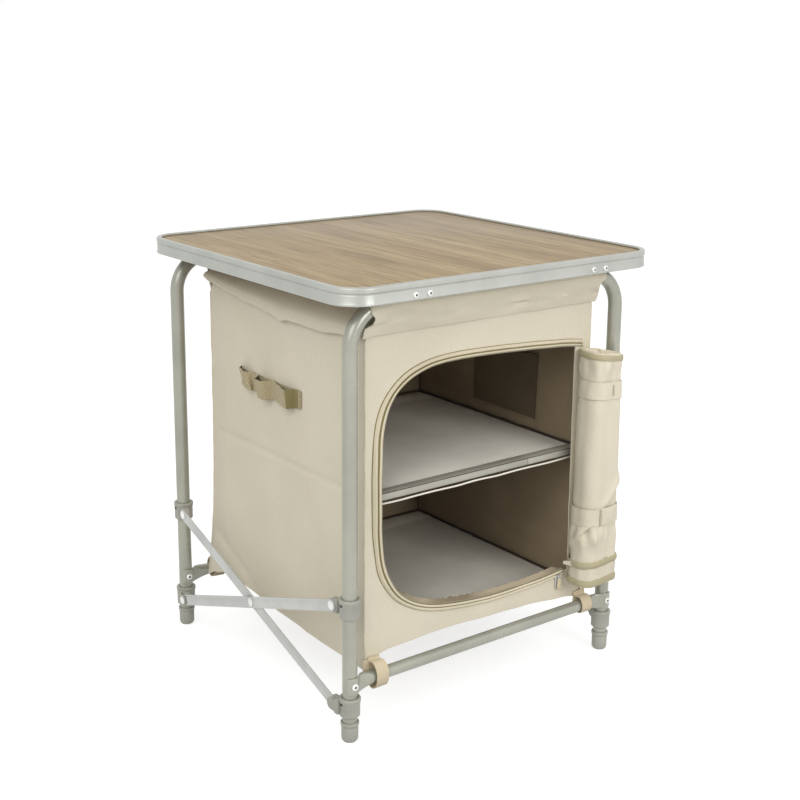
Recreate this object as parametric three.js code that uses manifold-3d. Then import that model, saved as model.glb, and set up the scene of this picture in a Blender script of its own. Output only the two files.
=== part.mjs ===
// Folding camp table with a soft two-shelf cupboard under its top.
// Millimetres, +Z up, +X to the right of a person who faces the door, +Y to the back.
// The origin lies on the floor, under the middle of the tabletop.

import * as THREE from 'three';
import { mergeVertices } from 'three/addons/utils/BufferGeometryUtils.js';
import Module from 'manifold-3d';

const wasm = await Module();
wasm.setup();

// Driving dimensions

const fit = 0.3; // gap between pieces that touch
const overrun = 1; // how far a cutter passes the face it cuts
const roundSides = 14; // sides of a turned piece
const fineSides = 10; // sides of a small rod
const tubeSteps = 7; // half the sides of a frame tube
const cornerSteps = 3; // half the steps of a rounded corner

const table = { width: 505, depth: 490, height: 585, cornerRadius: 40 };
const edge = { height: 22, wall: 2, lipWidth: 7, lipHeight: 2.7, ledgeWidth: 7, ledgeHeight: 1.2,
  flangeWidth: 13, flangeHeight: 1.5, grooveDrop: 7.5, grooveHeight: 1.2, grooveDepth: 0.8 };
const board = { thickness: 7.5 };

const frame = { sideOverhang: 32.5, frontOverhang: 42, rearOverhang: 24, barDrop: 10, tubeRadius: 9.5,
  tubeWall: 1.2, bendRadius: 48, bendSteps: 6 };

const foot = { height: 27, radius: 10.9, lipRadius: 12, lipHeight: 5, solePad: 3.7, soleRadius: 8.2 };

const scissor = { lowHeight: 47, rise: 132, insetBack: 20, standOff: 10, gap: 0.3, thickness: 2,
  width: 15.5, pinRadius: 2.8, headRadius: 6, headHeight: 1.8,
  pinDepth: 9 };

const collar = { radius: 13, height: 25, lipRadius: 14, lipHeight: 3, chamfer: 1.5, lugRadius: 9,
  lugInset: 6, screwRadius: 2.2, screwDepth: 1.5 };

const crossbar = { height: 77, radius: 8, saddleRadius: 11.4, saddleHeight: 22, rivetRadius: 2.3,
  rivetHeadRadius: 4.6, rivetHeadHeight: 1.6, rivetLength: 5.5 };

const bag = { legGap: 32, frontStandOff: 13, rearStandOff: 39, floor: 96, topDrop: 8, wall: 1.6,
  flapStandOff: 5, flapDrop: 37 };
const door = { leftHem: 23, rightHem: 30, bottomHem: 36, topHem: 87, cornerRadius: 85, hingeRadius: 20,
  bandOutside: 11.2, bandInside: 2.8, bandThickness: 2.2, bandShort: 12 };
const sleeve = { endGap: 1, wall: 1.2, hemDrop: 38 };

const clip = { inset: 26, width: 34, grip: 2.5, reach: 55, flange: 2, rivetSpread: 21,
  rivetRadius: 4, rivetHeight: 1.7, rivetDimple: 1.5, rivetDimpleDepth: 0.8, rivetRise: 6.5 };

const midShelf = { clothHeight: 293, thickness: 7, frontGap: 10.9, backGap: 37.4 };
const strip = { wall: 1.5, depth: 15 };
const lowShelf = { thickness: 4, frontGap: 15.3, backGap: 36.4 };
const shelfSideGap = 2;

const roll = { width: 50, depth: 44, bottomRise: 23, topDrop: 3, cornerRadius: 19, collarGap: 0.5, endBevel: 4,
  shoulder: 36, shoulderRadius: 9, shoulderTurn: -25, pressStart: 200, pressEnd: 240, lobe: 52, lobeRadius: 9.5,
  lobeTurn: 55 };
const tie = { wall: 1.4, height: 24, lowRise: 89, highDrop: 69 };
const cornerTie = { width: 21, wall: 1.4, inset: 19, rollInset: 1 };
const webbing = { height: 25, wall: 1.3, loops: 3, loopRadius: 9, pitch: 48, shiftBack: 26, drop: 154 };
const patch = { width: 128, height: 88, thickness: 1.2, shiftFront: 21, rise: 37 };
const slider = { width: 9, height: 20, thickness: 1.6, pinRise: -4, pinRadius: 1.1, earWidth: 1.2,
  earReach: 1.7 };
const puller = { length: 20, width: 7, thickness: 1.6, barrelRadius: 2.2, barrelHalf: 2, neck: 3.2 };

// Finishes

function finish(colour, roughness, metalness) {
  return new THREE.MeshStandardMaterial({ color: colour, roughness, metalness });
}
const finishes = {
  wood: finish(0xb8a383, 0.5, 0),
  aluminium: finish(0xc6c7c5, 0.35, 0.9),
  tube: finish(0x9c9d99, 0.45, 0.3),
  plastic: finish(0x8c8d86, 0.6, 0),
  steel: finish(0xb4b6b4, 0.4, 0.8),
  beige: finish(0xd3cab4, 0.9, 0),
  khaki: finish(0xa89d78, 0.9, 0),
  cream: finish(0xe6ddc6, 0.85, 0),
  lining: finish(0x5b5040, 0.95, 0),
  greyBoard: finish(0x97958b, 0.8, 0),
};

// Solid helpers

function toSolid(geometry) {
  const bare = geometry.clone();
  bare.deleteAttribute('normal');
  bare.deleteAttribute('uv');
  const merged = mergeVertices(bare);
  return new wasm.Manifold(new wasm.Mesh({
    numProp: 3,
    vertProperties: new Float32Array(merged.attributes.position.array),
    triVerts: new Uint32Array(merged.index.array),
  }));
}

function toGeometry(solid) {
  const mesh = solid.getMesh();
  const geometry = new THREE.BufferGeometry();
  geometry.setAttribute('position', new THREE.BufferAttribute(mesh.vertProperties, mesh.numProp));
  geometry.setIndex(new THREE.BufferAttribute(mesh.triVerts, 1));
  return geometry;
}

function joined(...geometries) {
  return toGeometry(geometries.map(toSolid).reduce((all, next) => all.add(next)));
}

function cut(geometry, ...cutters) {
  return toGeometry(cutters.map(toSolid).reduce((left, next) => left.subtract(next), toSolid(geometry)));
}

const model = new THREE.Group();

function addPiece(name, geometry, material, mirrored = false) {
  let shape = geometry;
  if (mirrored) {
    shape = mirrorAcrossX(geometry);
  }
  const mesh = new THREE.Mesh(shape, material);
  mesh.name = name;
  model.add(mesh);
  return mesh;
}

// A copy on the other side of the middle plane, with its faces still pointing out.
function mirrorAcrossX(geometry) {
  const flipped = geometry.index ? geometry.toNonIndexed() : geometry.clone();
  flipped.scale(-1, 1, 1);
  const positions = flipped.attributes.position;
  const corner = new THREE.Vector3();
  const other = new THREE.Vector3();
  for (let i = 0; i < positions.count; i += 3) {
    corner.fromBufferAttribute(positions, i);
    other.fromBufferAttribute(positions, i + 1);
    positions.setXYZ(i, other.x, other.y, other.z);
    positions.setXYZ(i + 1, corner.x, corner.y, corner.z);
  }
  return flipped;
}

function box(x0, x1, y0, y1, z0, z1) {
  const geometry = new THREE.BoxGeometry(x1 - x0, y1 - y0, z1 - z0);
  return geometry.translate((x0 + x1) / 2, (y0 + y1) / 2, (z0 + z1) / 2);
}

function extruded(shape, length, curveSegments = cornerSteps) {
  return new THREE.ExtrudeGeometry(shape, { depth: length, bevelEnabled: false, curveSegments });
}

// A profile drawn in (y, z) that runs along X from x0 to x1.
function alongX(shape, x0, x1, curveSegments = cornerSteps) {
  const turn = new THREE.Matrix4().makeBasis(
    new THREE.Vector3(0, 1, 0), new THREE.Vector3(0, 0, 1), new THREE.Vector3(1, 0, 0));
  return extruded(shape, x1 - x0, curveSegments).applyMatrix4(turn).translate(x0, 0, 0);
}

// A profile drawn in (x, z) that runs along Y from y0 to y1.
function alongY(shape, y0, y1, curveSegments = cornerSteps) {
  const turn = new THREE.Matrix4().makeBasis(
    new THREE.Vector3(1, 0, 0), new THREE.Vector3(0, 0, 1), new THREE.Vector3(0, -1, 0));
  return extruded(shape, y1 - y0, curveSegments).applyMatrix4(turn).translate(0, y1, 0);
}

// A profile drawn in (x, y) that runs along Z from z0 to z1.
function alongZ(shape, z0, z1, curveSegments = cornerSteps) {
  return extruded(shape, z1 - z0, curveSegments).translate(0, 0, z0);
}

function rodX(radius, x0, x1, y, z, sides = fineSides) {
  const rod = new THREE.CylinderGeometry(radius, radius, x1 - x0, sides);
  return rod.rotateZ(Math.PI / 2).translate((x0 + x1) / 2, y, z);
}

function rodY(radius, y0, y1, x, z, sides = fineSides) {
  const rod = new THREE.CylinderGeometry(radius, radius, y1 - y0, sides);
  return rod.translate(x, (y0 + y1) / 2, z);
}

function rodZ(radius, z0, z1, x, y, sides = roundSides) {
  const rod = new THREE.CylinderGeometry(radius, radius, z1 - z0, sides);
  return rod.rotateX(Math.PI / 2).translate(x, y, (z0 + z1) / 2);
}

// A turned piece: the profile is a list of [radius, height] that starts and ends on the axis.
function turned(profile, sides = roundSides) {
  const points = profile.map(([radius, height]) => new THREE.Vector2(radius, height));
  return new THREE.LatheGeometry(points, sides).rotateX(Math.PI / 2);
}

function roundedRectangle(x0, x1, y0, y1, radius) {
  const shape = new THREE.Shape();
  shape.moveTo(x0 + radius, y0);
  shape.lineTo(x1 - radius, y0);
  shape.absarc(x1 - radius, y0 + radius, radius, -Math.PI / 2, 0, false);
  shape.lineTo(x1, y1 - radius);
  shape.absarc(x1 - radius, y1 - radius, radius, 0, Math.PI / 2, false);
  shape.lineTo(x0 + radius, y1);
  shape.absarc(x0 + radius, y1 - radius, radius, Math.PI / 2, Math.PI, false);
  shape.lineTo(x0, y0 + radius);
  shape.absarc(x0 + radius, y0 + radius, radius, Math.PI, Math.PI * 1.5, false);
  return shape;
}

// Places that several pieces share

const legX = table.width / 2 - frame.sideOverhang;
const frontLegY = -table.depth / 2 + frame.frontOverhang;
const backLegY = table.depth / 2 - frame.rearOverhang;
const barHeight = table.height - edge.height - frame.barDrop;
const frontPivotY = frontLegY + scissor.insetBack;
const backPivotY = backLegY - scissor.insetBack;
const highHeight = scissor.lowHeight + scissor.rise;
const pivotSpacing = backPivotY - frontPivotY;
const barLength = Math.hypot(pivotSpacing, scissor.rise);
const barAngle = Math.atan2(scissor.rise, pivotSpacing);
const innerBarFace = scissor.standOff + scissor.gap;
const outerBarFace = innerBarFace + scissor.thickness + scissor.gap * 2;
const barBore = scissor.pinRadius + fit;
const bagHalf = legX - bag.legGap;
const bagFront = frontLegY + bag.frontStandOff;
const bagBack = backLegY - bag.rearStandOff;
const bagMiddle = (bagFront + bagBack) / 2;
const bagTop = barHeight - bag.topDrop;
const doorLeft = -bagHalf + door.leftHem;
const doorRight = bagHalf - door.rightHem;
const doorBottom = bag.floor + door.bottomHem;
const doorTop = bagTop - door.topHem;
const bandEnd = doorRight - door.bandShort;
const sleeveHalf = legX - frame.bendRadius - sleeve.endGap;
const sleeveHem = barHeight - sleeve.hemDrop;
const pinHeight = doorBottom + slider.pinRise;

// Tube frames

// A route through chosen stations, so that straight runs cost one step and bends get more.
class StationRoute extends THREE.Curve {
  constructor(stations) {
    super();
    this.stations = stations;
  }
  stationAt(u) {
    return Math.round(u * (this.stations.length - 1));
  }
  getPointAt(u, target = new THREE.Vector3()) {
    return target.copy(this.stations[this.stationAt(u)].point);
  }
  getTangentAt(u, target = new THREE.Vector3()) {
    return target.copy(this.stations[this.stationAt(u)].direction);
  }
}

function ring(outerRadius, innerRadius) {
  const shape = new THREE.Shape();
  shape.absarc(0, 0, outerRadius, 0, Math.PI * 2, false);
  const hole = new THREE.Path();
  hole.absarc(0, 0, innerRadius, 0, Math.PI * 2, true);
  shape.holes.push(hole);
  return shape;
}

function frameRoute(legY) {
  const bendX = legX - frame.bendRadius;
  const bendZ = barHeight - frame.bendRadius;
  const legEnd = foot.solePad + fit;
  const up = new THREE.Vector3(0, 0, 1);
  const down = new THREE.Vector3(0, 0, -1);
  const stations = [{ point: new THREE.Vector3(-legX, legY, legEnd), direction: up }];
  for (const side of [-1, 1]) {
    for (let i = 0; i <= frame.bendSteps; i += 1) {
      const share = side < 0 ? i / frame.bendSteps : 1 - i / frame.bendSteps;
      const angle = share * Math.PI / 2;
      const x = side * (bendX + frame.bendRadius * Math.cos(angle));
      const z = bendZ + frame.bendRadius * Math.sin(angle);
      const direction = new THREE.Vector3(Math.sin(angle), 0, -side * Math.cos(angle));
      stations.push({ point: new THREE.Vector3(x, legY, z), direction });
    }
  }
  stations.push({ point: new THREE.Vector3(legX, legY, legEnd), direction: down });
  return new StationRoute(stations);
}

function frameTube(name, legY, rivetSide) {
  const route = frameRoute(legY);
  const tube = new THREE.ExtrudeGeometry(ring(frame.tubeRadius, frame.tubeRadius - frame.tubeWall), {
    steps: route.stations.length - 1, extrudePath: route, curveSegments: tubeSteps });
  const holes = [-legX, legX].map((x) => rodY(crossbar.rivetRadius + fit,
    Math.min(legY, legY + rivetSide * (frame.tubeRadius + overrun)),
    Math.max(legY, legY + rivetSide * (frame.tubeRadius + overrun)), x, crossbar.height));
  addPiece(name, cut(tube, ...holes), finishes.tube);
}

// The tube between the legs, flattened at each end to a saddle that a rivet holds to the leg.
function crossbarPiece(name, legY, rivetSide) {
  const tubeEnd = legX - frame.tubeRadius + frame.tubeWall;
  const tube = rodX(crossbar.radius, -tubeEnd, tubeEnd, legY, crossbar.height);
  const parts = [tube];
  const saddleLow = crossbar.height - crossbar.saddleHeight / 2;
  const saddleHigh = crossbar.height + crossbar.saddleHeight / 2;
  const reach = crossbar.saddleRadius + overrun;
  for (const side of [-1, 1]) {
    const cup = rodZ(crossbar.saddleRadius, saddleLow, saddleHigh, side * legX, legY);
    const keep = side < 0
      ? box(-legX - crossbar.radius, -legX + crossbar.saddleRadius, 0, reach, saddleLow, saddleHigh)
      : box(legX - crossbar.saddleRadius, legX + crossbar.radius, 0, reach, saddleLow, saddleHigh);
    if (rivetSide < 0) {
      keep.translate(0, legY - reach, 0);
    } else {
      keep.translate(0, legY, 0);
    }
    parts.push(toGeometry(toSolid(cup).intersect(toSolid(keep))));
  }
  let solid = joined(...parts);
  for (const side of [-1, 1]) {
    const leg = rodZ(frame.tubeRadius + fit, saddleLow - overrun, saddleHigh + overrun, side * legX, legY);
    solid = cut(solid, leg);
  }
  const seat = legY + rivetSide * (crossbar.saddleRadius - frame.tubeWall);
  const tip = legY + rivetSide * (frame.tubeRadius - crossbar.rivetLength);
  const headTop = legY + rivetSide * (crossbar.saddleRadius + crossbar.rivetHeadHeight);
  for (const side of [-1, 1]) {
    const shank = rodY(crossbar.rivetRadius, Math.min(seat, tip), Math.max(seat, tip),
      side * legX, crossbar.height);
    const head = rodY(crossbar.rivetHeadRadius, Math.min(seat, headTop), Math.max(seat, headTop),
      side * legX, crossbar.height);
    solid = joined(solid, shank, head);
  }
  addPiece(name, solid, finishes.tube);
}

function footPiece(name, x, y) {
  const bore = frame.tubeRadius + fit;
  const profile = [[0, 0], [foot.soleRadius, 0], [foot.radius - foot.solePad / 4, foot.solePad / 2],
    [foot.radius, foot.solePad], [foot.radius, foot.height - foot.lipHeight],
    [foot.lipRadius, foot.height - foot.lipHeight / 2], [foot.lipRadius, foot.height], [bore, foot.height],
    [bore, foot.solePad], [0, foot.solePad]];
  addPiece(name, turned(profile).translate(x, y, 0), finishes.plastic);
}

// Sliding and fixed collars, with a lug that carries the end of a scissor bar.
// This one is made on the left, and its copy is mirrored to the right.
function collarShape(legY, pivotY, height, lugFace) {
  const low = height - collar.height / 2;
  const high = height + collar.height / 2;
  const bore = frame.tubeRadius + fit;
  const sleeveProfile = [[0, 0], [collar.radius - collar.chamfer, 0], [collar.radius, collar.chamfer],
    [collar.radius, collar.height - collar.lipHeight - collar.chamfer],
    [collar.lipRadius, collar.height - collar.lipHeight], [collar.lipRadius, collar.height - collar.chamfer / 2],
    [collar.lipRadius - collar.chamfer / 2, collar.height], [0, collar.height]];
  const body = turned(sleeveProfile).translate(-legX, legY, low);
  const lug = new THREE.Shape();
  const inward = Math.sign(pivotY - legY);
  const turnStart = inward > 0 ? -Math.PI / 2 : Math.PI / 2;
  lug.moveTo(legY, height - inward * collar.lugRadius);
  lug.lineTo(pivotY, height - inward * collar.lugRadius);
  lug.absarc(pivotY, height, collar.lugRadius, turnStart, turnStart + Math.PI, false);
  lug.lineTo(legY, height + inward * collar.lugRadius);
  const ear = alongX(lug, -legX - lugFace, -legX + collar.lugInset);
  const leg = rodZ(bore, low - overrun, high + overrun, -legX, legY);
  const pinBore = rodX(barBore, -legX - lugFace - overrun, -legX - lugFace + scissor.pinDepth, pivotY, height);
  const screw = rodX(collar.screwRadius, -legX - collar.lipRadius - overrun,
    -legX - collar.radius + collar.screwDepth, legY, height + collar.height / 4);
  return cut(joined(body, ear), leg, pinBore, screw);
}

// A shouldered rivet through a bar's end into its collar, drawn along +Z from the blind end.
function pivotRivet(lugFace, barFace) {
  const shank = barFace + scissor.thickness + scissor.gap - (lugFace - scissor.pinDepth + fit);
  const profile = [[0, 0], [scissor.pinRadius, 0], [scissor.pinRadius, shank], [scissor.headRadius, shank],
    [scissor.headRadius, shank + scissor.headHeight / 2], [scissor.headRadius / 2, shank + scissor.headHeight],
    [0, shank + scissor.headHeight]];
  return turned(profile, fineSides).rotateY(-Math.PI / 2)
    .translate(-legX - lugFace + scissor.pinDepth - fit, 0, 0);
}

// A flat bar with round ends and three holes, from (y0, z0) to (y1, z1), outside the left legs.
function scissorBar(faceStandOff, tilt) {
  const half = barLength / 2;
  const radius = scissor.width / 2;
  const outline = new THREE.Shape();
  outline.moveTo(-half, -radius);
  outline.lineTo(half, -radius);
  outline.absarc(half, 0, radius, -Math.PI / 2, Math.PI / 2, false);
  outline.lineTo(-half, radius);
  outline.absarc(-half, 0, radius, Math.PI / 2, Math.PI * 1.5, false);
  for (const place of [-half, 0, half]) {
    const hole = new THREE.Path();
    hole.absarc(place, 0, barBore, 0, Math.PI * 2, true);
    outline.holes.push(hole);
  }
  const x1 = -legX - faceStandOff;
  return alongX(outline, x1 - scissor.thickness, x1, fineSides / 2).rotateX(tilt)
    .translate(0, (frontPivotY + backPivotY) / 2, scissor.lowHeight + scissor.rise / 2);
}

function centreRivet() {
  const inner = innerBarFace - scissor.gap;
  const outer = outerBarFace + scissor.thickness + scissor.gap;
  const shankTop = scissor.headHeight + outer - inner;
  const profile = [[0, 0], [scissor.headRadius / 2, 0], [scissor.headRadius, scissor.headHeight / 2],
    [scissor.headRadius, scissor.headHeight], [scissor.pinRadius, scissor.headHeight],
    [scissor.pinRadius, shankTop], [scissor.headRadius, shankTop],
    [scissor.headRadius, shankTop + scissor.headHeight / 2],
    [scissor.headRadius / 2, shankTop + scissor.headHeight], [0, shankTop + scissor.headHeight]];
  const x = -legX - inner + scissor.headHeight;
  const middleY = (frontPivotY + backPivotY) / 2;
  const middleZ = scissor.lowHeight + scissor.rise / 2;
  return turned(profile, fineSides).rotateY(-Math.PI / 2).translate(x, middleY, middleZ);
}

function buildFrames() {
  frameTube('front_frame_tube', frontLegY, -1);
  frameTube('rear_frame_tube', backLegY, -1);
  crossbarPiece('front_crossbar', frontLegY, -1);
  crossbarPiece('rear_crossbar', backLegY, -1);
  for (const [end, y] of [['front', frontLegY], ['rear', backLegY]]) {
    footPiece(`foot_${end}_left`, -legX, y);
    footPiece(`foot_${end}_right`, legX, y);
  }
}

function buildScissors() {
  const ends = [
    { name: 'front_lower', legY: frontLegY, pivotY: frontPivotY, height: scissor.lowHeight, inner: true },
    { name: 'rear_lower', legY: backLegY, pivotY: backPivotY, height: scissor.lowHeight, inner: false },
    { name: 'front_upper', legY: frontLegY, pivotY: frontPivotY, height: highHeight, inner: false },
    { name: 'rear_upper', legY: backLegY, pivotY: backPivotY, height: highHeight, inner: true },
  ];
  for (const [side, mirrored] of [['left', false], ['right', true]]) {
    for (const end of ends) {
      const lugFace = end.inner ? scissor.standOff : outerBarFace - scissor.gap;
      const barFace = end.inner ? innerBarFace : outerBarFace;
      const body = collarShape(end.legY, end.pivotY, end.height, lugFace);
      addPiece(`collar_${end.name}_${side}`, body, finishes.plastic, mirrored);
      const rivet = pivotRivet(lugFace, barFace).translate(0, end.pivotY, end.height);
      addPiece(`pivot_rivet_${end.name}_${side}`, rivet, finishes.steel, mirrored);
    }
    addPiece(`inner_bar_${side}`, scissorBar(innerBarFace, barAngle), finishes.steel, mirrored);
    addPiece(`outer_bar_${side}`, scissorBar(outerBarFace, -barAngle), finishes.steel, mirrored);
    addPiece(`centre_rivet_${side}`, centreRivet(), finishes.steel, mirrored);
  }
}

// Tabletop: a laminated board in an aluminium edge profile, on four riveted bar clips

function tableOutline(inset) {
  const halfWidth = table.width / 2 - inset;
  const halfDepth = table.depth / 2 - inset;
  return roundedRectangle(-halfWidth, halfWidth, -halfDepth, halfDepth, table.cornerRadius - inset);
}

function tableRing(outerInset, innerInset, z0, z1) {
  const shape = tableOutline(outerInset);
  shape.holes.push(new THREE.Path(tableOutline(innerInset).getPoints(cornerSteps).reverse()));
  return alongZ(shape, z0, z1);
}

const edgeLow = table.height - edge.height;
const boardTop = table.height - edge.lipHeight - fit;
const boardLow = boardTop - board.thickness;

function buildTop() {
  addPiece('tabletop_board', alongZ(tableOutline(edge.wall + fit), boardLow, boardTop), finishes.wood);
  const grooveTop = table.height - edge.grooveDrop;
  const profile = joined(
    tableRing(0, edge.wall, edgeLow, table.height),
    tableRing(0, edge.lipWidth, table.height - edge.lipHeight, table.height),
    tableRing(0, edge.ledgeWidth, boardLow - fit - edge.ledgeHeight, boardLow - fit),
    tableRing(0, edge.flangeWidth, edgeLow, edgeLow + edge.flangeHeight));
  const groove = tableRing(-overrun, edge.grooveDepth, grooveTop - edge.grooveHeight, grooveTop);
  let grooved = cut(profile, groove);
  for (const facing of [-1, 1]) {
    for (const middle of [-(sleeveHalf - clip.inset), (sleeveHalf - clip.inset)]) {
      for (const step of [-1, 1]) {
        grooved = cut(grooved, clipRivetRod(facing, middle + step * clip.rivetSpread / 2,
          clip.rivetRadius / 2 + fit, -overrun, edge.wall + overrun));
      }
    }
  }
  addPiece('edge_profile', grooved, finishes.aluminium);
  for (const [end, facing, barY] of [['front', -1, frontLegY], ['rear', 1, backLegY]]) {
    for (const [side, middle] of [['left', -(sleeveHalf - clip.inset)], ['right', (sleeveHalf - clip.inset)]]) {
      addPiece(`bar_clip_${end}_${side}`, clipShape(facing, middle, barY), finishes.aluminium);
    }
  }
}

// A rod through the profile's wall, given by how far in from the table's face it starts and ends.
function clipRivetRod(facing, x, radius, startInset, endInset) {
  const face = facing * table.depth / 2;
  const start = face - facing * startInset;
  const end = face - facing * endInset;
  return rodY(radius, Math.min(start, end), Math.max(start, end), x, edgeLow + clip.rivetRise);
}

// A pressed clip: a flange riveted inside the edge profile, an arm, and a saddle over the bar.
function clipShape(facing, middle, barY) {
  const wallFace = facing * (table.depth / 2 - edge.wall - fit);
  const innerRadius = frame.tubeRadius + fit + sleeve.wall + fit;
  const outerRadius = innerRadius + clip.grip;
  const x0 = middle - clip.width / 2;
  const x1 = middle + clip.width / 2;
  const flangeLow = edgeLow + edge.flangeHeight + fit;
  const flangeHigh = boardLow - fit - edge.ledgeHeight - fit;
  const armTop = barHeight + outerRadius;
  const flangeBack = wallFace - facing * clip.flange;
  const flange = box(x0, x1, Math.min(wallFace, flangeBack), Math.max(wallFace, flangeBack),
    flangeLow, flangeHigh);
  const arm = box(x0, x1, Math.min(wallFace, barY), Math.max(wallFace, barY), flangeLow, armTop);
  const saddle = new THREE.Shape();
  const reach = THREE.MathUtils.degToRad(clip.reach);
  saddle.absarc(barY, barHeight, outerRadius, Math.PI / 2 - reach, Math.PI / 2 + reach, false);
  saddle.absarc(barY, barHeight, innerRadius, Math.PI / 2 + reach, Math.PI / 2 - reach, true);
  const over = alongX(saddle, x0, x1);
  const clearBar = rodX(innerRadius, x0 - overrun, x1 + overrun, barY, barHeight, roundSides);
  let solid = joined(flange, cut(arm, clearBar), over);
  for (const step of [-1, 1]) {
    const x = middle + step * clip.rivetSpread / 2;
    const shank = clipRivetRod(facing, x, clip.rivetRadius / 2, -fit - clip.rivetHeight / 2,
      edge.wall + clip.flange);
    const head = clipRivetRod(facing, x, clip.rivetRadius, -fit - clip.rivetHeight, -fit);
    const dimple = clipRivetRod(facing, x, clip.rivetDimple, -fit - clip.rivetHeight - overrun,
      -fit - clip.rivetHeight + clip.rivetDimpleDepth);
    solid = cut(joined(solid, shank, head), dimple);
  }
  return solid;
}

// Cloth cupboard

function doorOutline(grow) {
  const radius = door.cornerRadius + grow;
  const small = door.hingeRadius + grow;
  const left = doorLeft - grow;
  const right = doorRight + grow;
  const low = doorBottom - grow;
  const high = doorTop + grow;
  const shape = new THREE.Shape();
  shape.moveTo(left + radius, low);
  shape.lineTo(right - small, low);
  shape.absarc(right - small, low + small, small, -Math.PI / 2, 0, false);
  shape.lineTo(right, high - small);
  shape.absarc(right - small, high - small, small, 0, Math.PI / 2, false);
  shape.lineTo(left + radius, high);
  shape.absarc(left + radius, high - radius, radius, Math.PI / 2, Math.PI, false);
  shape.lineTo(left, low + radius);
  shape.absarc(left + radius, low + radius, radius, Math.PI, Math.PI * 1.5, false);
  return shape;
}

function doorHole(grow) {
  return new THREE.Path(doorOutline(grow).getPoints(fineSides / 2).reverse());
}

// A band of cloth round a bar that comes together at a seam: the outline that wraps a circle
// of the given radius and a point of the same band.
function loopOutline(barY, barZ, radius, seamY, seamZ, seamRadius) {
  const span = Math.hypot(seamY - barY, seamZ - barZ);
  const heading = Math.atan2(seamZ - barZ, seamY - barY);
  const lean = Math.acos((radius - seamRadius) / span);
  const shape = new THREE.Shape();
  shape.absarc(seamY, seamZ, seamRadius, heading - lean, heading + lean, false);
  shape.absarc(barY, barZ, radius, heading + lean, heading - lean + Math.PI * 2, false);
  return shape;
}

function clothLoop(barY, barZ, barRadius, seamY, seamZ, wall, x0, x1) {
  const inner = barRadius + fit;
  const shape = loopOutline(barY, barZ, inner + wall, seamY, seamZ, wall);
  const hollow = loopOutline(barY, barZ, inner, seamY, seamZ, wall / 8);
  shape.holes.push(new THREE.Path(hollow.getPoints(fineSides / 2).reverse()));
  return alongX(shape, x0, x1, fineSides / 2);
}

const frontInside = bagFront + bag.wall;
const backInside = bagBack - bag.wall;
const sideInside = bagHalf - bag.wall;
const shelfFront = frontInside + midShelf.frontGap;

function buildBag() {
  const front = roundedRectangle(-bagHalf, bagHalf, bag.floor, bagTop, bag.wall);
  front.holes.push(doorHole(0));
  addPiece('front_panel', alongY(front, bagFront, frontInside, fineSides / 2), finishes.beige);
  addPiece('rear_panel', box(-bagHalf, bagHalf, backInside, bagBack, bag.floor, bagTop), finishes.beige);
  addPiece('side_panel_left', sidePanel(), finishes.beige);
  addPiece('side_panel_right', sidePanel(), finishes.beige, true);
  addPiece('bottom_panel', box(-sideInside + fit, sideInside - fit, frontInside + fit, backInside - fit,
    bag.floor, bag.floor + bag.wall), finishes.lining);
  addPiece('shelf_cloth', box(-sideInside + fit, sideInside - fit,
    shelfFront + strip.depth / 2, backInside - fit,
    midShelf.clothHeight, midShelf.clothHeight + bag.wall), finishes.lining);
  const seam = sleeve.wall + fit;
  addPiece('front_bar_sleeve', clothLoop(frontLegY, barHeight, frame.tubeRadius,
    bagFront - seam, sleeveHem, sleeve.wall, -sleeveHalf, sleeveHalf), finishes.beige);
  addPiece('rear_bar_sleeve', clothLoop(backLegY, barHeight, frame.tubeRadius,
    bagBack + seam, sleeveHem, sleeve.wall, -sleeveHalf, sleeveHalf), finishes.beige);
  const middle = bagMiddle - patch.shiftFront;
  const low = midShelf.clothHeight + patch.rise;
  addPiece('inner_pocket', box(sideInside - fit - patch.thickness, sideInside - fit,
    middle - patch.width / 2, middle + patch.width / 2, low, low + patch.height), finishes.lining);
}

// A side wall whose top edge turns out and hangs down as a flap.
function sidePanel() {
  const flapFace = bagHalf + bag.flapStandOff;
  const low = bagTop - bag.flapDrop;
  const profile = new THREE.Shape();
  profile.moveTo(-sideInside, bag.floor);
  profile.lineTo(-sideInside, bagTop);
  profile.lineTo(-flapFace - bag.wall, bagTop);
  profile.lineTo(-flapFace - bag.wall, low);
  profile.lineTo(-flapFace, low);
  profile.lineTo(-flapFace, bagTop - bag.wall);
  profile.lineTo(-bagHalf, bagTop - bag.wall);
  profile.lineTo(-bagHalf, bag.floor);
  return alongY(profile, frontInside + fit, backInside - fit);
}

function buildDoor() {
  const band = doorOutline(door.bandOutside);
  band.holes.push(doorHole(-door.bandInside));
  const bandFace = bagFront - fit;
  const full = alongY(band, bandFace - door.bandThickness, bandFace, fineSides / 2);
  const reach = door.cornerRadius + door.bandOutside;
  const past = box(bandEnd, doorRight + reach, bandFace - door.bandThickness - overrun, bandFace + overrun,
    doorBottom - reach, doorTop + reach);
  const pieces = [cut(full, past), ...sliderParts(bandFace - door.bandThickness)];
  addPiece('door_zip_band', joined(...pieces), finishes.cream);
  addPiece('zip_puller', pullerShape(bandFace - door.bandThickness), finishes.steel);
}

const sliderMiddle = bandEnd - slider.width / 2;

function pullerPinY(bandTop) {
  return bandTop - slider.thickness - puller.barrelRadius - fit;
}

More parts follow.
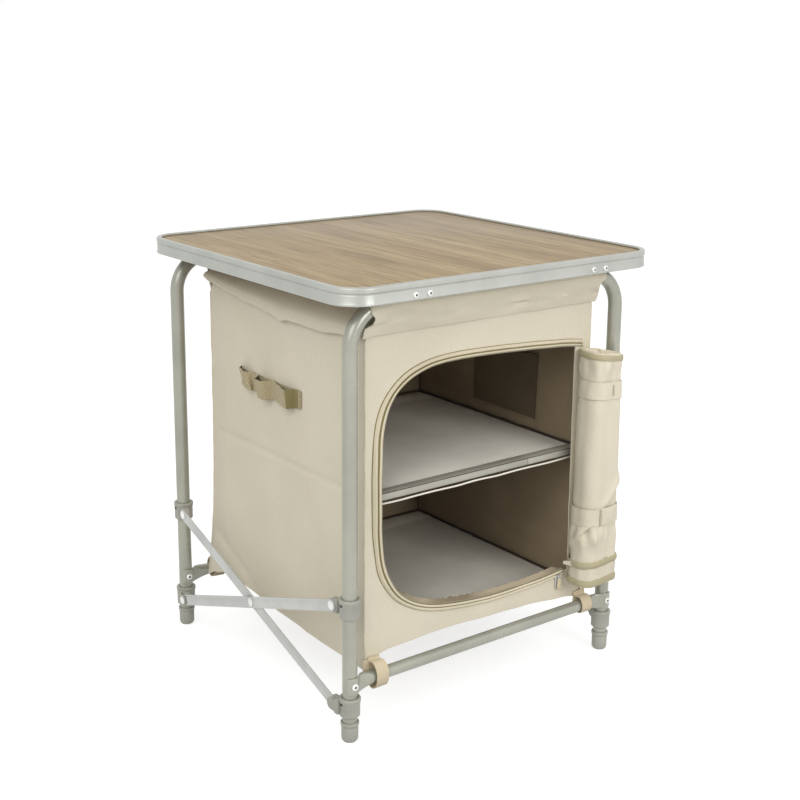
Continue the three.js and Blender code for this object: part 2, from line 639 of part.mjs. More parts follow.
// The slider's plate, and two ears with a pin between them for the puller.
function sliderParts(bandTop) {
  const face = bandTop - slider.thickness;
  const pinY = pullerPinY(bandTop);
  const top = pinHeight + slider.earReach;
  const parts = [box(sliderMiddle - slider.width / 2, bandEnd, face, bagFront - fit, top - slider.height, top)];
  const earInside = puller.barrelHalf + fit;
  const earOutside = earInside + slider.earWidth;
  for (const side of [-1, 1]) {
    const near = sliderMiddle + side * earInside;
    const far = sliderMiddle + side * earOutside;
    parts.push(box(Math.min(near, far), Math.max(near, far), pinY - slider.earReach, face + slider.thickness / 2,
      pinHeight - slider.earReach, top));
  }
  parts.push(rodX(slider.pinRadius, sliderMiddle - earInside - slider.earWidth / 2,
    sliderMiddle + earInside + slider.earWidth / 2, pinY, pinHeight));
  return parts;
}

// A tab that hangs on the slider's pin by a rolled barrel.
function pullerShape(bandTop) {
  const pinY = pullerPinY(bandTop);
  const barrel = rodX(puller.barrelRadius, sliderMiddle - puller.barrelHalf, sliderMiddle + puller.barrelHalf,
    pinY, pinHeight);
  const neckLow = pinHeight - puller.neck;
  const neck = box(sliderMiddle - puller.barrelHalf, sliderMiddle + puller.barrelHalf,
    pinY - puller.thickness / 2, pinY + puller.thickness / 2, neckLow - puller.neck / 2, pinHeight);
  const outline = roundedRectangle(sliderMiddle - puller.width / 2, sliderMiddle + puller.width / 2,
    pinHeight - puller.length, neckLow, puller.width / 4);
  const tab = alongY(outline, pinY - puller.thickness / 2, pinY + puller.thickness / 2);
  const bore = rodX(slider.pinRadius + fit, sliderMiddle - puller.width, sliderMiddle + puller.width,
    pinY, pinHeight);
  return cut(joined(barrel, neck, tab), bore);
}

// The door flap, rolled to the right and tied in two places.
const legClearance = collar.lipRadius + roll.collarGap + tie.wall + fit;

function arcPoints(x, y, radius, startTurn, endTurn) {
  const points = [];
  for (let i = 0; i <= cornerSteps; i += 1) {
    const angle = THREE.MathUtils.degToRad(startTurn + (endTurn - startTurn) * i / cornerSteps);
    points.push(new THREE.Vector2(x + radius * Math.cos(angle), y + radius * Math.sin(angle)));
  }
  return points;
}

// The roll leans on the leg: a hollow round the leg lies between its shoulder and its front lobe.
function rollPoints(grow) {
  const left = legX - legClearance - roll.width;
  const back = bagFront - fit - tie.wall - fit;
  const front = back - roll.depth;
  const round = roll.cornerRadius;
  return [
    ...arcPoints(left + round, back - round, round + grow, 180, 90),
    ...arcPoints(left + roll.shoulder, back - roll.shoulderRadius, roll.shoulderRadius + grow,
      90, roll.shoulderTurn),
    ...arcPoints(legX, frontLegY, legClearance - grow, roll.pressStart, roll.pressEnd),
    ...arcPoints(left + roll.lobe, front + roll.lobeRadius, roll.lobeRadius + grow, roll.lobeTurn, -90),
    ...arcPoints(left + round, front + round, round + grow, -90, -180),
  ];
}

function rollOutline(grow) {
  return new THREE.Shape(rollPoints(grow));
}

// Joins outlines at their heights into one closed body, lowest first.
function lofted(levels) {
  const count = levels[0].points.length;
  const positions = [];
  for (const level of levels) {
    for (const point of level.points) {
      positions.push(point.x, point.y, level.height);
    }
  }
  const triangles = [];
  for (let ring = 0; ring + 1 < levels.length; ring += 1) {
    for (let i = 0; i < count; i += 1) {
      const here = ring * count + i;
      const next = ring * count + (i + 1) % count;
      triangles.push(here, here + count, next, next, here + count, next + count);
    }
  }
  const top = (levels.length - 1) * count;
  for (const [a, b, c] of THREE.ShapeUtils.triangulateShape(levels[0].points, [])) {
    triangles.push(a, c, b, top + a, top + b, top + c);
  }
  const geometry = new THREE.BufferGeometry();
  geometry.setAttribute('position', new THREE.Float32BufferAttribute(positions, 3));
  geometry.setIndex(triangles);
  return geometry;
}

function buildRoll() {
  const rollBottom = bag.floor + roll.bottomRise;
  const rollTop = doorTop - roll.topDrop;
  addPiece('door_roll', lofted([
    { points: rollPoints(-roll.endBevel), height: rollBottom },
    { points: rollPoints(0), height: rollBottom + roll.endBevel },
    { points: rollPoints(0), height: rollTop - roll.endBevel },
    { points: rollPoints(-roll.endBevel), height: rollTop },
  ]), finishes.beige);
  for (const [name, low] of [['lower', rollBottom + tie.lowRise], ['upper', rollTop - tie.highDrop]]) {
    const shape = rollOutline(fit + tie.wall);
    shape.holes.push(new THREE.Path(rollOutline(fit).getPoints(cornerSteps).reverse()));
    addPiece(`roll_tie_${name}`, alongZ(shape, low, low + tie.height), finishes.beige);
  }
}

function buildTies() {
  const places = [
    ['corner_tie_front_left', frontLegY, bagFront, -1, -bagHalf + cornerTie.inset],
    ['corner_tie_front_right', frontLegY, bagFront, -1, bagHalf - cornerTie.rollInset],
    ['corner_tie_rear_left', backLegY, bagBack, 1, -bagHalf + cornerTie.inset],
    ['corner_tie_rear_right', backLegY, bagBack, 1, bagHalf - cornerTie.inset],
  ];
  for (const [name, barY, bagFace, outward, x] of places) {
    const seamY = bagFace + outward * (cornerTie.wall + fit);
    addPiece(name, clothLoop(barY, crossbar.height, crossbar.radius, seamY, bag.floor + cornerTie.wall,
      cornerTie.wall, x - cornerTie.width / 2, x + cornerTie.width / 2), finishes.khaki);
  }
  addPiece('side_webbing', webbingShape(), finishes.khaki);
}

// A strip sewn to the left wall at both ends and between its open loops.
function webbingShape() {
  const face = -bagHalf - fit;
  const length = webbing.pitch * webbing.loops;
  const middle = bagMiddle + webbing.shiftBack;
  const low = bagTop - webbing.drop;
  const parts = [box(face - webbing.wall, face, middle - length / 2, middle + length / 2,
    low, low + webbing.height)];
  for (let i = 0; i < webbing.loops; i += 1) {
    const y = middle + (i - (webbing.loops - 1) / 2) * webbing.pitch;
    const arch = new THREE.Shape();
    const root = face - webbing.wall / 2;
    const inner = webbing.loopRadius - webbing.wall;
    const half = webbing.pitch / 3;
    arch.absellipse(root, y, webbing.loopRadius, half, Math.PI / 2, Math.PI * 1.5, false, 0);
    arch.absellipse(root, y, inner, half - webbing.wall, Math.PI * 1.5, Math.PI / 2, true, 0);
    parts.push(alongZ(arch, low, low + webbing.height, fineSides / 2));
  }
  return joined(...parts);
}

// Stiff shelves: each swings up about its front lower edge when the cupboard is folded

const stripLow = midShelf.clothHeight + bag.wall + fit;
const shelfLow = stripLow + strip.wall + fit;

function buildShelves() {
  const halfWidth = sideInside - shelfSideGap;
  addPiece('mid_shelf_board', box(-halfWidth, halfWidth,
    shelfFront + strip.wall + fit, backInside - midShelf.backGap,
    shelfLow, shelfLow + midShelf.thickness), finishes.greyBoard);
  const stripHigh = shelfLow + midShelf.thickness + fit + strip.wall;
  const channel = new THREE.Shape();
  channel.moveTo(shelfFront, stripLow);
  channel.lineTo(shelfFront + strip.depth, stripLow);
  channel.lineTo(shelfFront + strip.depth, stripLow + strip.wall);
  channel.lineTo(shelfFront + strip.wall, stripLow + strip.wall);
  channel.lineTo(shelfFront + strip.wall, stripHigh - strip.wall);
  channel.lineTo(shelfFront + strip.depth, stripHigh - strip.wall);
  channel.lineTo(shelfFront + strip.depth, stripHigh);
  channel.lineTo(shelfFront, stripHigh);
  addPiece('shelf_edge_strip', alongX(channel, -halfWidth, halfWidth), finishes.aluminium);
  const lowFace = bag.floor + bag.wall + fit;
  addPiece('bottom_board', box(-halfWidth, halfWidth,
    frontInside + lowShelf.frontGap, backInside - lowShelf.backGap,
    lowFace, lowFace + lowShelf.thickness), finishes.greyBoard);
}

buildFrames();
buildScissors();
buildTop();
buildBag();
buildDoor();
buildRoll();
buildTies();
buildShelves();

export default model;
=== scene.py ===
# %% [markdown]
# # A folding camp table with a cloth cupboard
# A laminated top rests on two bent tube frames. Scissor bars join the frames at both sides, and a
# cloth cupboard with two stiff shelves hangs between them, its door rolled up at the right.
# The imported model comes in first. It fixes every size, and each new piece is made round it in metres.

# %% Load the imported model
import math

import bpy
from mathutils import Matrix, Vector, noise


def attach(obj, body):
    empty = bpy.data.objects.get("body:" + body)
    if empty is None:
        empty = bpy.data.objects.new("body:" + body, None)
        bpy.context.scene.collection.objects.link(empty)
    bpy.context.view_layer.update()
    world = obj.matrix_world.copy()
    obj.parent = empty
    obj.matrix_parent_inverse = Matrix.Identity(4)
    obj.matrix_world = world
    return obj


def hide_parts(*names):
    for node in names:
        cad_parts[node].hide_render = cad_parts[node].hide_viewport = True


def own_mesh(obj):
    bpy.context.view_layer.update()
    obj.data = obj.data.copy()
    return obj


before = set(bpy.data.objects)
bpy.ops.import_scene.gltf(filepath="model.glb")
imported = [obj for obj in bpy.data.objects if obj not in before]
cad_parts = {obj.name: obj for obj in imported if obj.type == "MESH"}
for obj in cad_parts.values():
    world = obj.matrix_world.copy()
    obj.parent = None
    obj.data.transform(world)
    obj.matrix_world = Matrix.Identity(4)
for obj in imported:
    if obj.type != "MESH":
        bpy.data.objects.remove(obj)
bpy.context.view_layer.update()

# %% [markdown]
# ## Sizes that many pieces share
# A maker works from one sheet of sizes. These are the places of the legs, bars and walls, and the
# numbers that decide how round a round piece looks.

# %% Shared sizes
LEG_X = 0.220
FRONT_LEG_Y = -0.203
REAR_LEG_Y = 0.221
BAR_Z = 0.553
TUBE_RADIUS = 0.0095
BEND_RADIUS = 0.048
CROSSBAR_Z = 0.077
FRONT_PIVOT_Y = -0.183
REAR_PIVOT_Y = 0.201
LOW_PIVOT_Z = 0.047
HIGH_PIVOT_Z = 0.179
BAG_HALF = 0.188
BAG_FRONT = -0.190
BAG_REAR = 0.182
BAG_TOP = 0.545
CLOTH_WALL = 0.0016
ROUND_SIDES = 40
FINE_SIDES = 24
ARC_STEPS = 12
SMOOTH_ANGLE = math.radians(35)
QUARTER_TURN = math.pi / 2
FULL_TURN = 2 * math.pi
SIDES = (("left", -1), ("right", 1))
FRAMES = (("front", FRONT_LEG_Y, "front_frame"), ("rear", REAR_LEG_Y, "rear_frame"))
print("table between legs:", 2 * LEG_X, "by", REAR_LEG_Y - FRONT_LEG_Y)


# %% [markdown]
# ## Small tools of the workshop
# An operator works on all that is selected, so everything is deselected before something is added.
# A finished piece has its place in its mesh and its object at the origin, so the place is applied.

# %% Selecting and applying
def deselect_all():
    if bpy.context.object and bpy.context.object.mode != "OBJECT":
        bpy.ops.object.mode_set(mode="OBJECT")
    bpy.ops.object.select_all(action="DESELECT")


def pick(piece):
    deselect_all()
    piece.select_set(True)
    bpy.context.view_layer.objects.active = piece


def apply_place(piece):
    pick(piece)
    bpy.ops.object.transform_apply(location=True, rotation=True, scale=True)


def edit_all(piece):
    pick(piece)
    bpy.ops.object.mode_set(mode="EDIT")
    bpy.ops.mesh.select_all(action="SELECT")


def edit_rims(piece):
    edit_all(piece)
    bpy.ops.mesh.select_all(action="DESELECT")
    bpy.ops.mesh.select_non_manifold()


def object_mode():
    bpy.ops.object.mode_set(mode="OBJECT")


def extrude(move):
    bpy.ops.mesh.extrude_region_move(TRANSFORM_OT_translate={"value": move})


# %% [markdown]
# ### Closing, smoothing and joining
# A maker closes the seams of a piece, turns its faces outwards and breaks its sharp edges. Pieces
# that belong together are joined, and what repeats is made once and copied, mirrored if need be.

# %% Closing, smoothing and joining
MERGE = 0.00002


def close_and_turn_out(piece, merge=MERGE):
    edit_all(piece)
    bpy.ops.mesh.remove_doubles(threshold=merge)
    bpy.ops.mesh.normals_make_consistent(inside=False)
    object_mode()


def smooth(piece):
    pick(piece)
    bpy.ops.object.shade_smooth_by_angle(angle=SMOOTH_ANGLE)


def finished(piece, look):
    if look:
        piece.data.materials.append(finishes[look])
    smooth(piece)
    return piece


def apply_modifier(piece, kind, **settings):
    modifier = piece.modifiers.new(kind.title(), kind)
    for key, value in settings.items():
        setattr(modifier, key, value)
    pick(piece)
    bpy.ops.object.modifier_apply(modifier=modifier.name)


def round_edges(piece, width, segments=2):
    apply_modifier(piece, "BEVEL", width=width, segments=segments, limit_method="ANGLE",
                   angle_limit=SMOOTH_ANGLE)


def join(name, parts):
    deselect_all()
    for part in parts:
        part.select_set(True)
    bpy.context.view_layer.objects.active = parts[0]
    bpy.ops.object.join()
    parts[0].name = name
    return parts[0]


def copy_piece(piece, name, move=(0, 0, 0), mirror_x=False):
    twin = piece.copy()
    twin.data = piece.data.copy()
    twin.name = name
    bpy.context.scene.collection.objects.link(twin)
    twin.data.transform(Matrix.Translation(move))
    if mirror_x:
        twin.data.transform(Matrix.Diagonal((-1, 1, 1, 1)))
        close_and_turn_out(twin)
        smooth(twin)
    return twin


def sides_of(piece):
    return [round(side, 4) for side in piece.dimensions]


# %% [markdown]
# ## The camera
# The camera stands where the photographer's did: in front of the left corner, a little above the
# top. It looks down a little, and a small shift of the picture plane frames the table.

# %% Camera
CAMERA_PLACE = (-1.105405, -1.465190, 0.880389)
CAMERA_RIGHT = (0.7974552, -0.60331532, 0.00870795)
CAMERA_UP = (0.13610856, 0.19392925, 0.97152761)
CAMERA_BACK = (-0.58782622, -0.77356452, 0.23676627)
CAMERA_LENS = 61.05
CAMERA_SENSOR = 36
CAMERA_SHIFT = -0.0625

deselect_all()
bpy.ops.object.camera_add(location=CAMERA_PLACE)
camera = bpy.context.object
turn = Matrix((CAMERA_RIGHT, CAMERA_UP, CAMERA_BACK)).transposed()
camera.matrix_world = Matrix.Translation(CAMERA_PLACE) @ turn.to_4x4()
camera.data.sensor_width = CAMERA_SENSOR
camera.data.lens = CAMERA_LENS
camera.data.shift_y = CAMERA_SHIFT
bpy.context.scene.camera = camera
print("camera:", CAMERA_PLACE, "lens", CAMERA_LENS)

# %% [markdown]
# ## White behind, soft light on the pieces
# What the camera sees of the sky and the floor is one thing, what lights the pieces is another. The
# kind of light ray tells them apart, so the background is white and no colour is washed out.

# %% Node and view helpers
WHITE = (1, 1, 1, 1)


def add_node(tree, kind, inputs=None, **settings):
    node = tree.nodes.new(kind)
    for key, value in settings.items():
        setattr(node, key, value)
    for key, value in (inputs or {}).items():
        if isinstance(value, bpy.types.NodeSocket):
            tree.links.new(value, node.inputs[key])
        else:
            node.inputs[key].default_value = value
    return node


def seen_directly(tree):
    seen = None
    path = add_node(tree, "ShaderNodeLightPath").outputs
    for ray in ("Is Camera Ray", "Is Glossy Ray", "Is Transmission Ray"):
        either = {0: seen, 1: path[ray]} if seen else {0: path[ray], 1: 0}
        seen = add_node(tree, "ShaderNodeMath", either, operation="MAXIMUM").outputs[0]
    return seen


def glow(tree, kind, strength):
    return add_node(tree, kind, {"Color": WHITE, "Strength": strength}).outputs[0]


def mixed_by_view(tree, lit, seen, output):
    mix = add_node(tree, "ShaderNodeMixShader", {0: seen_directly(tree), 1: lit, 2: seen})
    add_node(tree, output, {0: mix.outputs[0]})


# %% [markdown]
# ## Light, floor and background
# Three soft lamps and an even white sky give the flat light of a studio; the lowest lamp looks into
# the cupboard. The pieces keep soft shading and throw a weak shadow on the floor.

# %% World, lamps and floor
SKY_STRENGTH = 0.80
FLOOR_GLOW = 0.68
FLOOR_SIZE = 60
FLOOR_GREY = (0.50, 0.50, 0.50, 1)
LAMP_AIM = (0, 0, 0.3)
# Name, place, side of the square lamp and power.
LAMPS = (("key_lamp", (-2.1, -1.2, 1.9), 1.8, 28),
         ("fill_lamp", (1.6, -1.9, 1.5), 1.6, 2),
         ("door_lamp", (0.25, -2.3, 1.15), 0.9, 17))


def add_lamp(name, place, size, power):
    deselect_all()
    bpy.ops.object.light_add(type="AREA", location=place)
    lamp = bpy.context.object
    lamp.name = name
    lamp.data.size = size
    lamp.data.energy = power
    aim = Vector(LAMP_AIM) - Vector(place)
    lamp.rotation_euler = aim.to_track_quat("-Z", "Y").to_euler()


scene = bpy.context.scene
scene.view_settings.view_transform = "Standard"
scene.world = bpy.data.worlds.new("studio")
scene.world.use_nodes = True
sky = scene.world.node_tree
sky.nodes.clear()
mixed_by_view(sky, glow(sky, "ShaderNodeBackground", SKY_STRENGTH), glow(sky, "ShaderNodeBackground", 1),
              "ShaderNodeOutputWorld")
for lamp in LAMPS:
    add_lamp(*lamp)

floor_paint = bpy.data.materials.new("studio_floor")
floor_paint.use_nodes = True
tree = floor_paint.node_tree
tree.nodes.clear()
matt = add_node(tree, "ShaderNodeBsdfDiffuse", {"Color": FLOOR_GREY}).outputs[0]
lifted = add_node(tree, "ShaderNodeAddShader", {0: matt, 1: glow(tree, "ShaderNodeEmission", FLOOR_GLOW)})
mixed_by_view(tree, matt, lifted.outputs[0], "ShaderNodeOutputMaterial")
deselect_all()
bpy.ops.mesh.primitive_plane_add(size=FLOOR_SIZE)
floor = bpy.context.object
floor.name = "studio_floor"
floor.data.materials.append(floor_paint)
print("lamps:", len(LAMPS))


# %% [markdown]
# ## Finishes
# Each finish is a small node tree on object coordinates or on the cloth's own unrolled map in
# metres. A colour is written as the eye sees it and turned into the linear value that a shader wants.

# %% Colour and node helpers
finishes = {}


def paint(*colour):
    levels = []
    for level in colour:
        share = level / 255
        levels.append(share / 12.92 if share <= 0.04045 else ((share + 0.055) / 1.055) ** 2.4)
    return (*levels, 1)


def new_finish(name, colour, roughness, metallic=0.0, specular=0.5, sheen=0.0):
    finish = bpy.data.materials.new(name)
    finish.use_nodes = True
    shader = finish.node_tree.nodes["Principled BSDF"]
    for key, value in (("Base Color", colour), ("Roughness", roughness), ("Metallic", metallic),
                       ("Specular IOR Level", specular), ("Sheen Weight", sheen)):
        shader.inputs[key].default_value = value
    finish.diffuse_color = colour
    finishes[name] = finish
    return finish.node_tree, shader


def set_by(tree, shader, **sources):
    for key, value in sources.items():
        tree.links.new(value, shader.inputs[key.replace("_", " ")])


# %% [markdown]
# ### Patterns
# Noise, waves and colour ramps stand for the threads, the grain and the wear of a surface. Each
# helper adds one such pattern to a finish, and the last turns them into a fine relief.

# %% Pattern nodes
WAVE_TURN = 0.31416


def mapped(tree, source, scale):
    place = add_node(tree, "ShaderNodeTexCoord").outputs[source]
    return add_node(tree, "ShaderNodeMapping", {"Vector": place, "Scale": scale}).outputs["Vector"]


def noise_of(tree, scale, detail=3.0, roughness=0.55, distortion=0.0):
    inputs = {"Vector": mapped(tree, "Object", scale), "Scale": 1.0, "Detail": detail,
              "Roughness": roughness, "Distortion": distortion}
    return add_node(tree, "ShaderNodeTexNoise", inputs).outputs["Fac"]


def wave_of(tree, pitch, direction, distortion, detail_scale):
    inputs = {"Vector": mapped(tree, "UV", (1, 1, 1)), "Scale": WAVE_TURN / pitch,
              "Distortion": distortion, "Detail": 1.0, "Detail Scale": detail_scale}
    node = add_node(tree, "ShaderNodeTexWave", inputs, wave_type="BANDS", bands_direction=direction)
    return node.outputs["Fac"]


def ramp_of(tree, factor, *stops):
    node = add_node(tree, "ShaderNodeValToRGB", {"Fac": factor})
    band = node.color_ramp
    while len(band.elements) < len(stops):
        band.elements.new(1)
    for element, (position, colour) in zip(band.elements, stops):
        element.position = position
        element.color = colour
    return node.outputs["Color"]


def multiplied(tree, factor, first, second):
    return add_node(tree, "ShaderNodeMix", {0: factor, 6: first, 7: second}, data_type="RGBA",
                    blend_type="MULTIPLY").outputs[2]


def range_of(tree, factor, low, high):
    inputs = {"Value": factor, "To Min": low, "To Max": high}
    return add_node(tree, "ShaderNodeMapRange", inputs).outputs["Result"]


def bumped(tree, shader, layers):
    normal = None
    for height, distance, strength in layers:
        inputs = {"Height": height, "Distance": distance, "Strength": strength}
        if normal:
            inputs["Normal"] = normal
        normal = add_node(tree, "ShaderNodeBump", inputs).outputs["Normal"]
    set_by(tree, shader, Normal=normal)


# %% [markdown]
# ### Wood-grain laminate
# The top is printed laminate, light oak with its grain from front to back. Noise that is squeezed
# across the grain and stretched along it gives streaks; a finer one gives the short dark pores.

# %% Wood finish
STREAK_SCALE = (46, 2.2, 1)
PORE_SCALE = (330, 15, 1)
PATCH_SCALE = (6, 1.1, 1)
GRAIN_STOPS = ((0.30, paint(134, 113, 82)), (0.46, paint(158, 137, 103)), (0.58, paint(171, 151, 116)),
               (0.75, paint(184, 165, 131)))
PORE_DEPTH = 0.0002
STREAK_DEPTH = 0.0003
PORE_STOPS = ((0.38, (0.52, 0.50, 0.46, 1)), (0.50, WHITE))
TINT_STOPS = ((0.35, (0.93, 0.92, 0.90, 1)), (0.65, WHITE))
tree, shader = new_finish("wood_laminate", paint(172, 152, 120), 0.45, specular=0.3)
streaks = noise_of(tree, STREAK_SCALE, 9.0, 0.66, 0.7)
pores = noise_of(tree, PORE_SCALE, 4.0, 0.62, 0.4)
patches = noise_of(tree, PATCH_SCALE, 2.0)
grain = ramp_of(tree, streaks, *GRAIN_STOPS)
with_pores = multiplied(tree, 0.55, grain, ramp_of(tree, pores, *PORE_STOPS))
tinted = multiplied(tree, 1.0, with_pores, ramp_of(tree, patches, *TINT_STOPS))
set_by(tree, shader, Base_Color=tinted, Roughness=range_of(tree, streaks, 0.36, 0.52))
bumped(tree, shader, [(pores, PORE_DEPTH, 0.35), (streaks, STREAK_DEPTH, 0.2)])
print("wood nodes:", len(tree.nodes))


# %% [markdown]
# ### Metals and plastic
# The extrusion, the painted tubes, the zinc bars and the nylon fittings differ in colour, in gloss
# and in the grain of their skin: drawn lines along the bars, fine orange peel on the paint.

# %% Metal and plastic finishes
# Name, colour, worn colour, roughness, metallic share, scale of the skin and its depth.
METALS = (("aluminium", (180, 182, 175), (172, 174, 167), 0.34, 0.3, (40, 40, 900), 0.00005),
          ("tube", (166, 166, 153), (157, 157, 145), 0.27, 0.3, (2600, 2600, 2200), 0.00002),
          ("steel", (196, 197, 193), (184, 185, 181), 0.33, 0.35, (700, 60, 700), 0.00006),
          ("bright_rivet", (236, 236, 232), (222, 222, 218), 0.22, 0.5, (600, 600, 600), 0.00003),
          ("plastic", (164, 163, 152), (157, 156, 146), 0.45, 0.0, (1400, 1400, 1400), 0.00009),
          ("strip_grey", (172, 170, 158), (164, 162, 150), 0.45, 0.1, (60, 900, 900), 0.00005),
          # Painted shade: this near-black finish stands for the shade inside rivet and screw holes.
          ("hole_painted_shade", (34, 33, 30), (26, 25, 23), 0.6, 0.0, (600, 600, 600), 0.00003))
for name, colour, worn, roughness, metallic, skin_scale, skin_depth in METALS:
    tree, shader = new_finish(name, paint(*colour), roughness, metallic)
    skin = noise_of(tree, skin_scale, 4.0)
    tone = ramp_of(tree, noise_of(tree, (16, 16, 16)), (0.38, paint(*worn)), (0.60, paint(*colour)))
    gloss = range_of(tree, skin, roughness - 0.07, roughness + 0.09)
    set_by(tree, shader, Base_Color=tone, Roughness=gloss)
    bumped(tree, shader, [(skin, skin_depth, 0.4)])
print("metals and plastics:", len(METALS))


# %% [markdown]
# ### Cloth
# The cupboard is plain-weave polyester. Two crossed wave patterns on the unrolled map are its
# threads, and soft noise gives slubs, faint colour change and the crumple of a folded bag.

# %% Cloth finishes
THREAD_STOPS = ((0.0, (0.955, 0.95, 0.94, 1)), (0.7, WHITE))
SLUB_STOPS = ((0.35, (0.97, 0.965, 0.955, 1)), (0.6, WHITE))
WEAVE_DEPTH = 0.00012
# Name, colour, shaded colour, thread width and depth of the crumple.
CLOTHS = (("beige", (219, 211, 191), (214, 206, 185), 0.0011, 0.0010),
          ("binding", (184, 175, 144), (170, 161, 130), 0.0009, 0.0004),
          # Olive tape, also used as painted shade in the zip's groove and on a fold of the webbing.
          ("olive_and_painted_shade", (140, 130, 88), (122, 113, 74), 0.0009, 0.0003),
          ("cream", (218, 208, 184), (208, 198, 173), 0.0008, 0.0003),
          # Painted shade: the inside cloth is the beige drawn darker for the shade inside the cupboard.
          ("lining", (156, 139, 113), (138, 122, 98), 0.0012, 0.0012),
          # The pocket's dark finish also gives the painted shade on the webbing's inner sides.
          ("pocket", (104, 91, 70), (90, 78, 59), 0.0012, 0.0012),
          ("dark_cord", (62, 52, 38), (48, 40, 29), 0.0009, 0.0004),
          # Painted light: the grey shelf cloth is drawn lighter than it is, for light inside the cupboard.
          ("shelf_grey_painted_light", (236, 233, 222), (218, 216, 206), 0.0009, 0.0006),
          ("sill_tape", (168, 155, 132), (96, 84, 64), 0.0009, 0.0010),
          ("strap", (208, 193, 164), (198, 183, 154), 0.0010, 0.0004),
          ("white_cord", (240, 236, 224), (230, 226, 214), 0.0008, 0.0002))
for name, colour, shade, thread, crumple in CLOTHS:
    tree, shader = new_finish(name, paint(*colour), 0.86, specular=0.2, sheen=0.12)
    shader.inputs["Sheen Roughness"].default_value = 0.6
    threads = {0: wave_of(tree, thread, "X", 0.4, 2.0), 1: wave_of(tree, thread, "Y", 0.4, 2.0)}
    weave = add_node(tree, "ShaderNodeMath", threads, operation="MULTIPLY").outputs[0]
    folds = noise_of(tree, (17, 17, 13), 5.0, 0.5, 0.4)
    tone = ramp_of(tree, noise_of(tree, (7, 7, 7)), (0.36, paint(*shade)), (0.60, paint(*colour)))
    woven = multiplied(tree, 1.0, tone, ramp_of(tree, weave, *THREAD_STOPS))
    slubs = ramp_of(tree, noise_of(tree, (330, 330, 330), 2.0), *SLUB_STOPS)
    set_by(tree, shader, Base_Color=multiplied(tree, 1.0, woven, slubs))
    bumped(tree, shader, [(folds, crumple * 4, 0.5), (weave, WEAVE_DEPTH, 0.5)])
print("cloths:", len(CLOTHS))

# %% [markdown]
# ### Khaki webbing
# The tape on the side is woven in a herringbone of khaki and cream. A wave whose bands bend back
# and forth across the tape gives the zigzag ribs.

# %% Webbing finish
RIB_PITCH = 0.0014
RIB_DEPTH = 0.0004
tree, shader = new_finish("webbing", paint(178, 164, 130), 0.88, specular=0.2, sheen=0.15)
ribs = wave_of(tree, RIB_PITCH, "DIAGONAL", 4.0, 1.4)
rib_tone = ramp_of(tree, ribs, (0.25, paint(156, 143, 109)), (0.75, paint(192, 180, 148)))
set_by(tree, shader, Base_Color=rib_tone)
bumped(tree, shader, [(ribs, RIB_DEPTH, 0.6)])
print("finishes:", len(finishes))


# %% [markdown]
# ## Dressing a piece
# Every piece gets its finish, rides on the body that carries it, and takes the place of the
# imported solids that it replaces.

# %% Dress and register
made = []


def dress(piece, body, nodes=(), looks=(), squashed=False):
    if looks:
        piece.data.materials.clear()
        for look in looks:
            piece.data.materials.append(finishes[look])
    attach(piece, body)
    if nodes:
        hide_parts(*nodes)
    if squashed:
        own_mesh(piece)
    made.append(piece.name)
    print(piece.name, sides_of(piece))


# %% [markdown]
# ## Turned pieces
# Feet, collars and rivets are round, as if turned on a lathe. A circle is extruded along its
# profile and resized at each step; a ring whose profile comes back to its start has a bore.

# %% Turned pieces
AXIS_TURNS = {"+Z": (0, 0, 0), "-Y": (QUARTER_TURN, 0, 0), "+Y": (-QUARTER_TURN, 0, 0),
              "-X": (0, -QUARTER_TURN, 0), "+X": (0, QUARTER_TURN, 0)}


def turned(name, profile, place, axis="+Z", sides=FINE_SIDES, bored=False, look=None):
    deselect_all()
    last_radius, last_height = profile[0]
    bpy.ops.mesh.primitive_circle_add(vertices=sides, radius=last_radius, location=(0, 0, last_height),
                                      fill_type="NOTHING" if bored else "NGON")
    piece = bpy.context.object
    piece.name = name
    bpy.ops.object.mode_set(mode="EDIT")
    for radius, height in profile[1:]:
        extrude((0, 0, height - last_height))
        share = radius / last_radius
        bpy.ops.transform.resize(value=(share, share, 1), center_override=(0, 0, height))
        last_radius, last_height = radius, height
    object_mode()
    apply_place(piece)
    piece.rotation_euler = AXIS_TURNS[axis]
    piece.location = place
    apply_place(piece)
    close_and_turn_out(piece)
    return finished(piece, look)


# %% [markdown]
# ## Flat pieces
# Bars, lugs, boards and tabs are flat shapes with a thickness. A circle with as many corners as the
# outline is put on that outline, extruded, and its sharp edges are rounded by a bevel.

# %% Flat pieces
def prism(name, outline, start, depth, bevel, look=None):
    deselect_all()
    bpy.ops.mesh.primitive_circle_add(vertices=len(outline), fill_type="NGON")
    piece = bpy.context.object
    piece.name = name
    for vertex, corner in zip(piece.data.vertices, outline):
        vertex.co = Vector(start) + Vector(corner)
    edit_all(piece)
    extrude(depth)
    object_mode()
    close_and_turn_out(piece)
    round_edges(piece, bevel)
    return finished(piece, look)


def block(name, corner, other, bevel, segments=2, look=None):
    deselect_all()
    middle = (Vector(corner) + Vector(other)) / 2
    bpy.ops.mesh.primitive_cube_add(size=1, location=middle)
    piece = bpy.context.object
    piece.name = name
    piece.scale = [abs(a - b) for a, b in zip(Vector(corner), Vector(other))]
    apply_place(piece)
    round_edges(piece, bevel, segments)
    return finished(piece, look)


def arc(centre_a, centre_b, radius, start, end, steps=ARC_STEPS):
    points = []
    for i in range(steps + 1):
        angle = math.radians(start + (end - start) * i / steps)
        points.append((centre_a + radius * math.cos(angle), centre_b + radius * math.sin(angle)))
    return points


def rounded_outline(half_width, half_depth, radius, steps=ARC_STEPS):
    points = []
    for sign_x, sign_y, start in ((1, 1, 0), (-1, 1, 90), (-1, -1, 180), (1, -1, 270)):
        points += arc(sign_x * (half_width - radius), sign_y * (half_depth - radius), radius,
                      start, start + 90, steps)
    return points


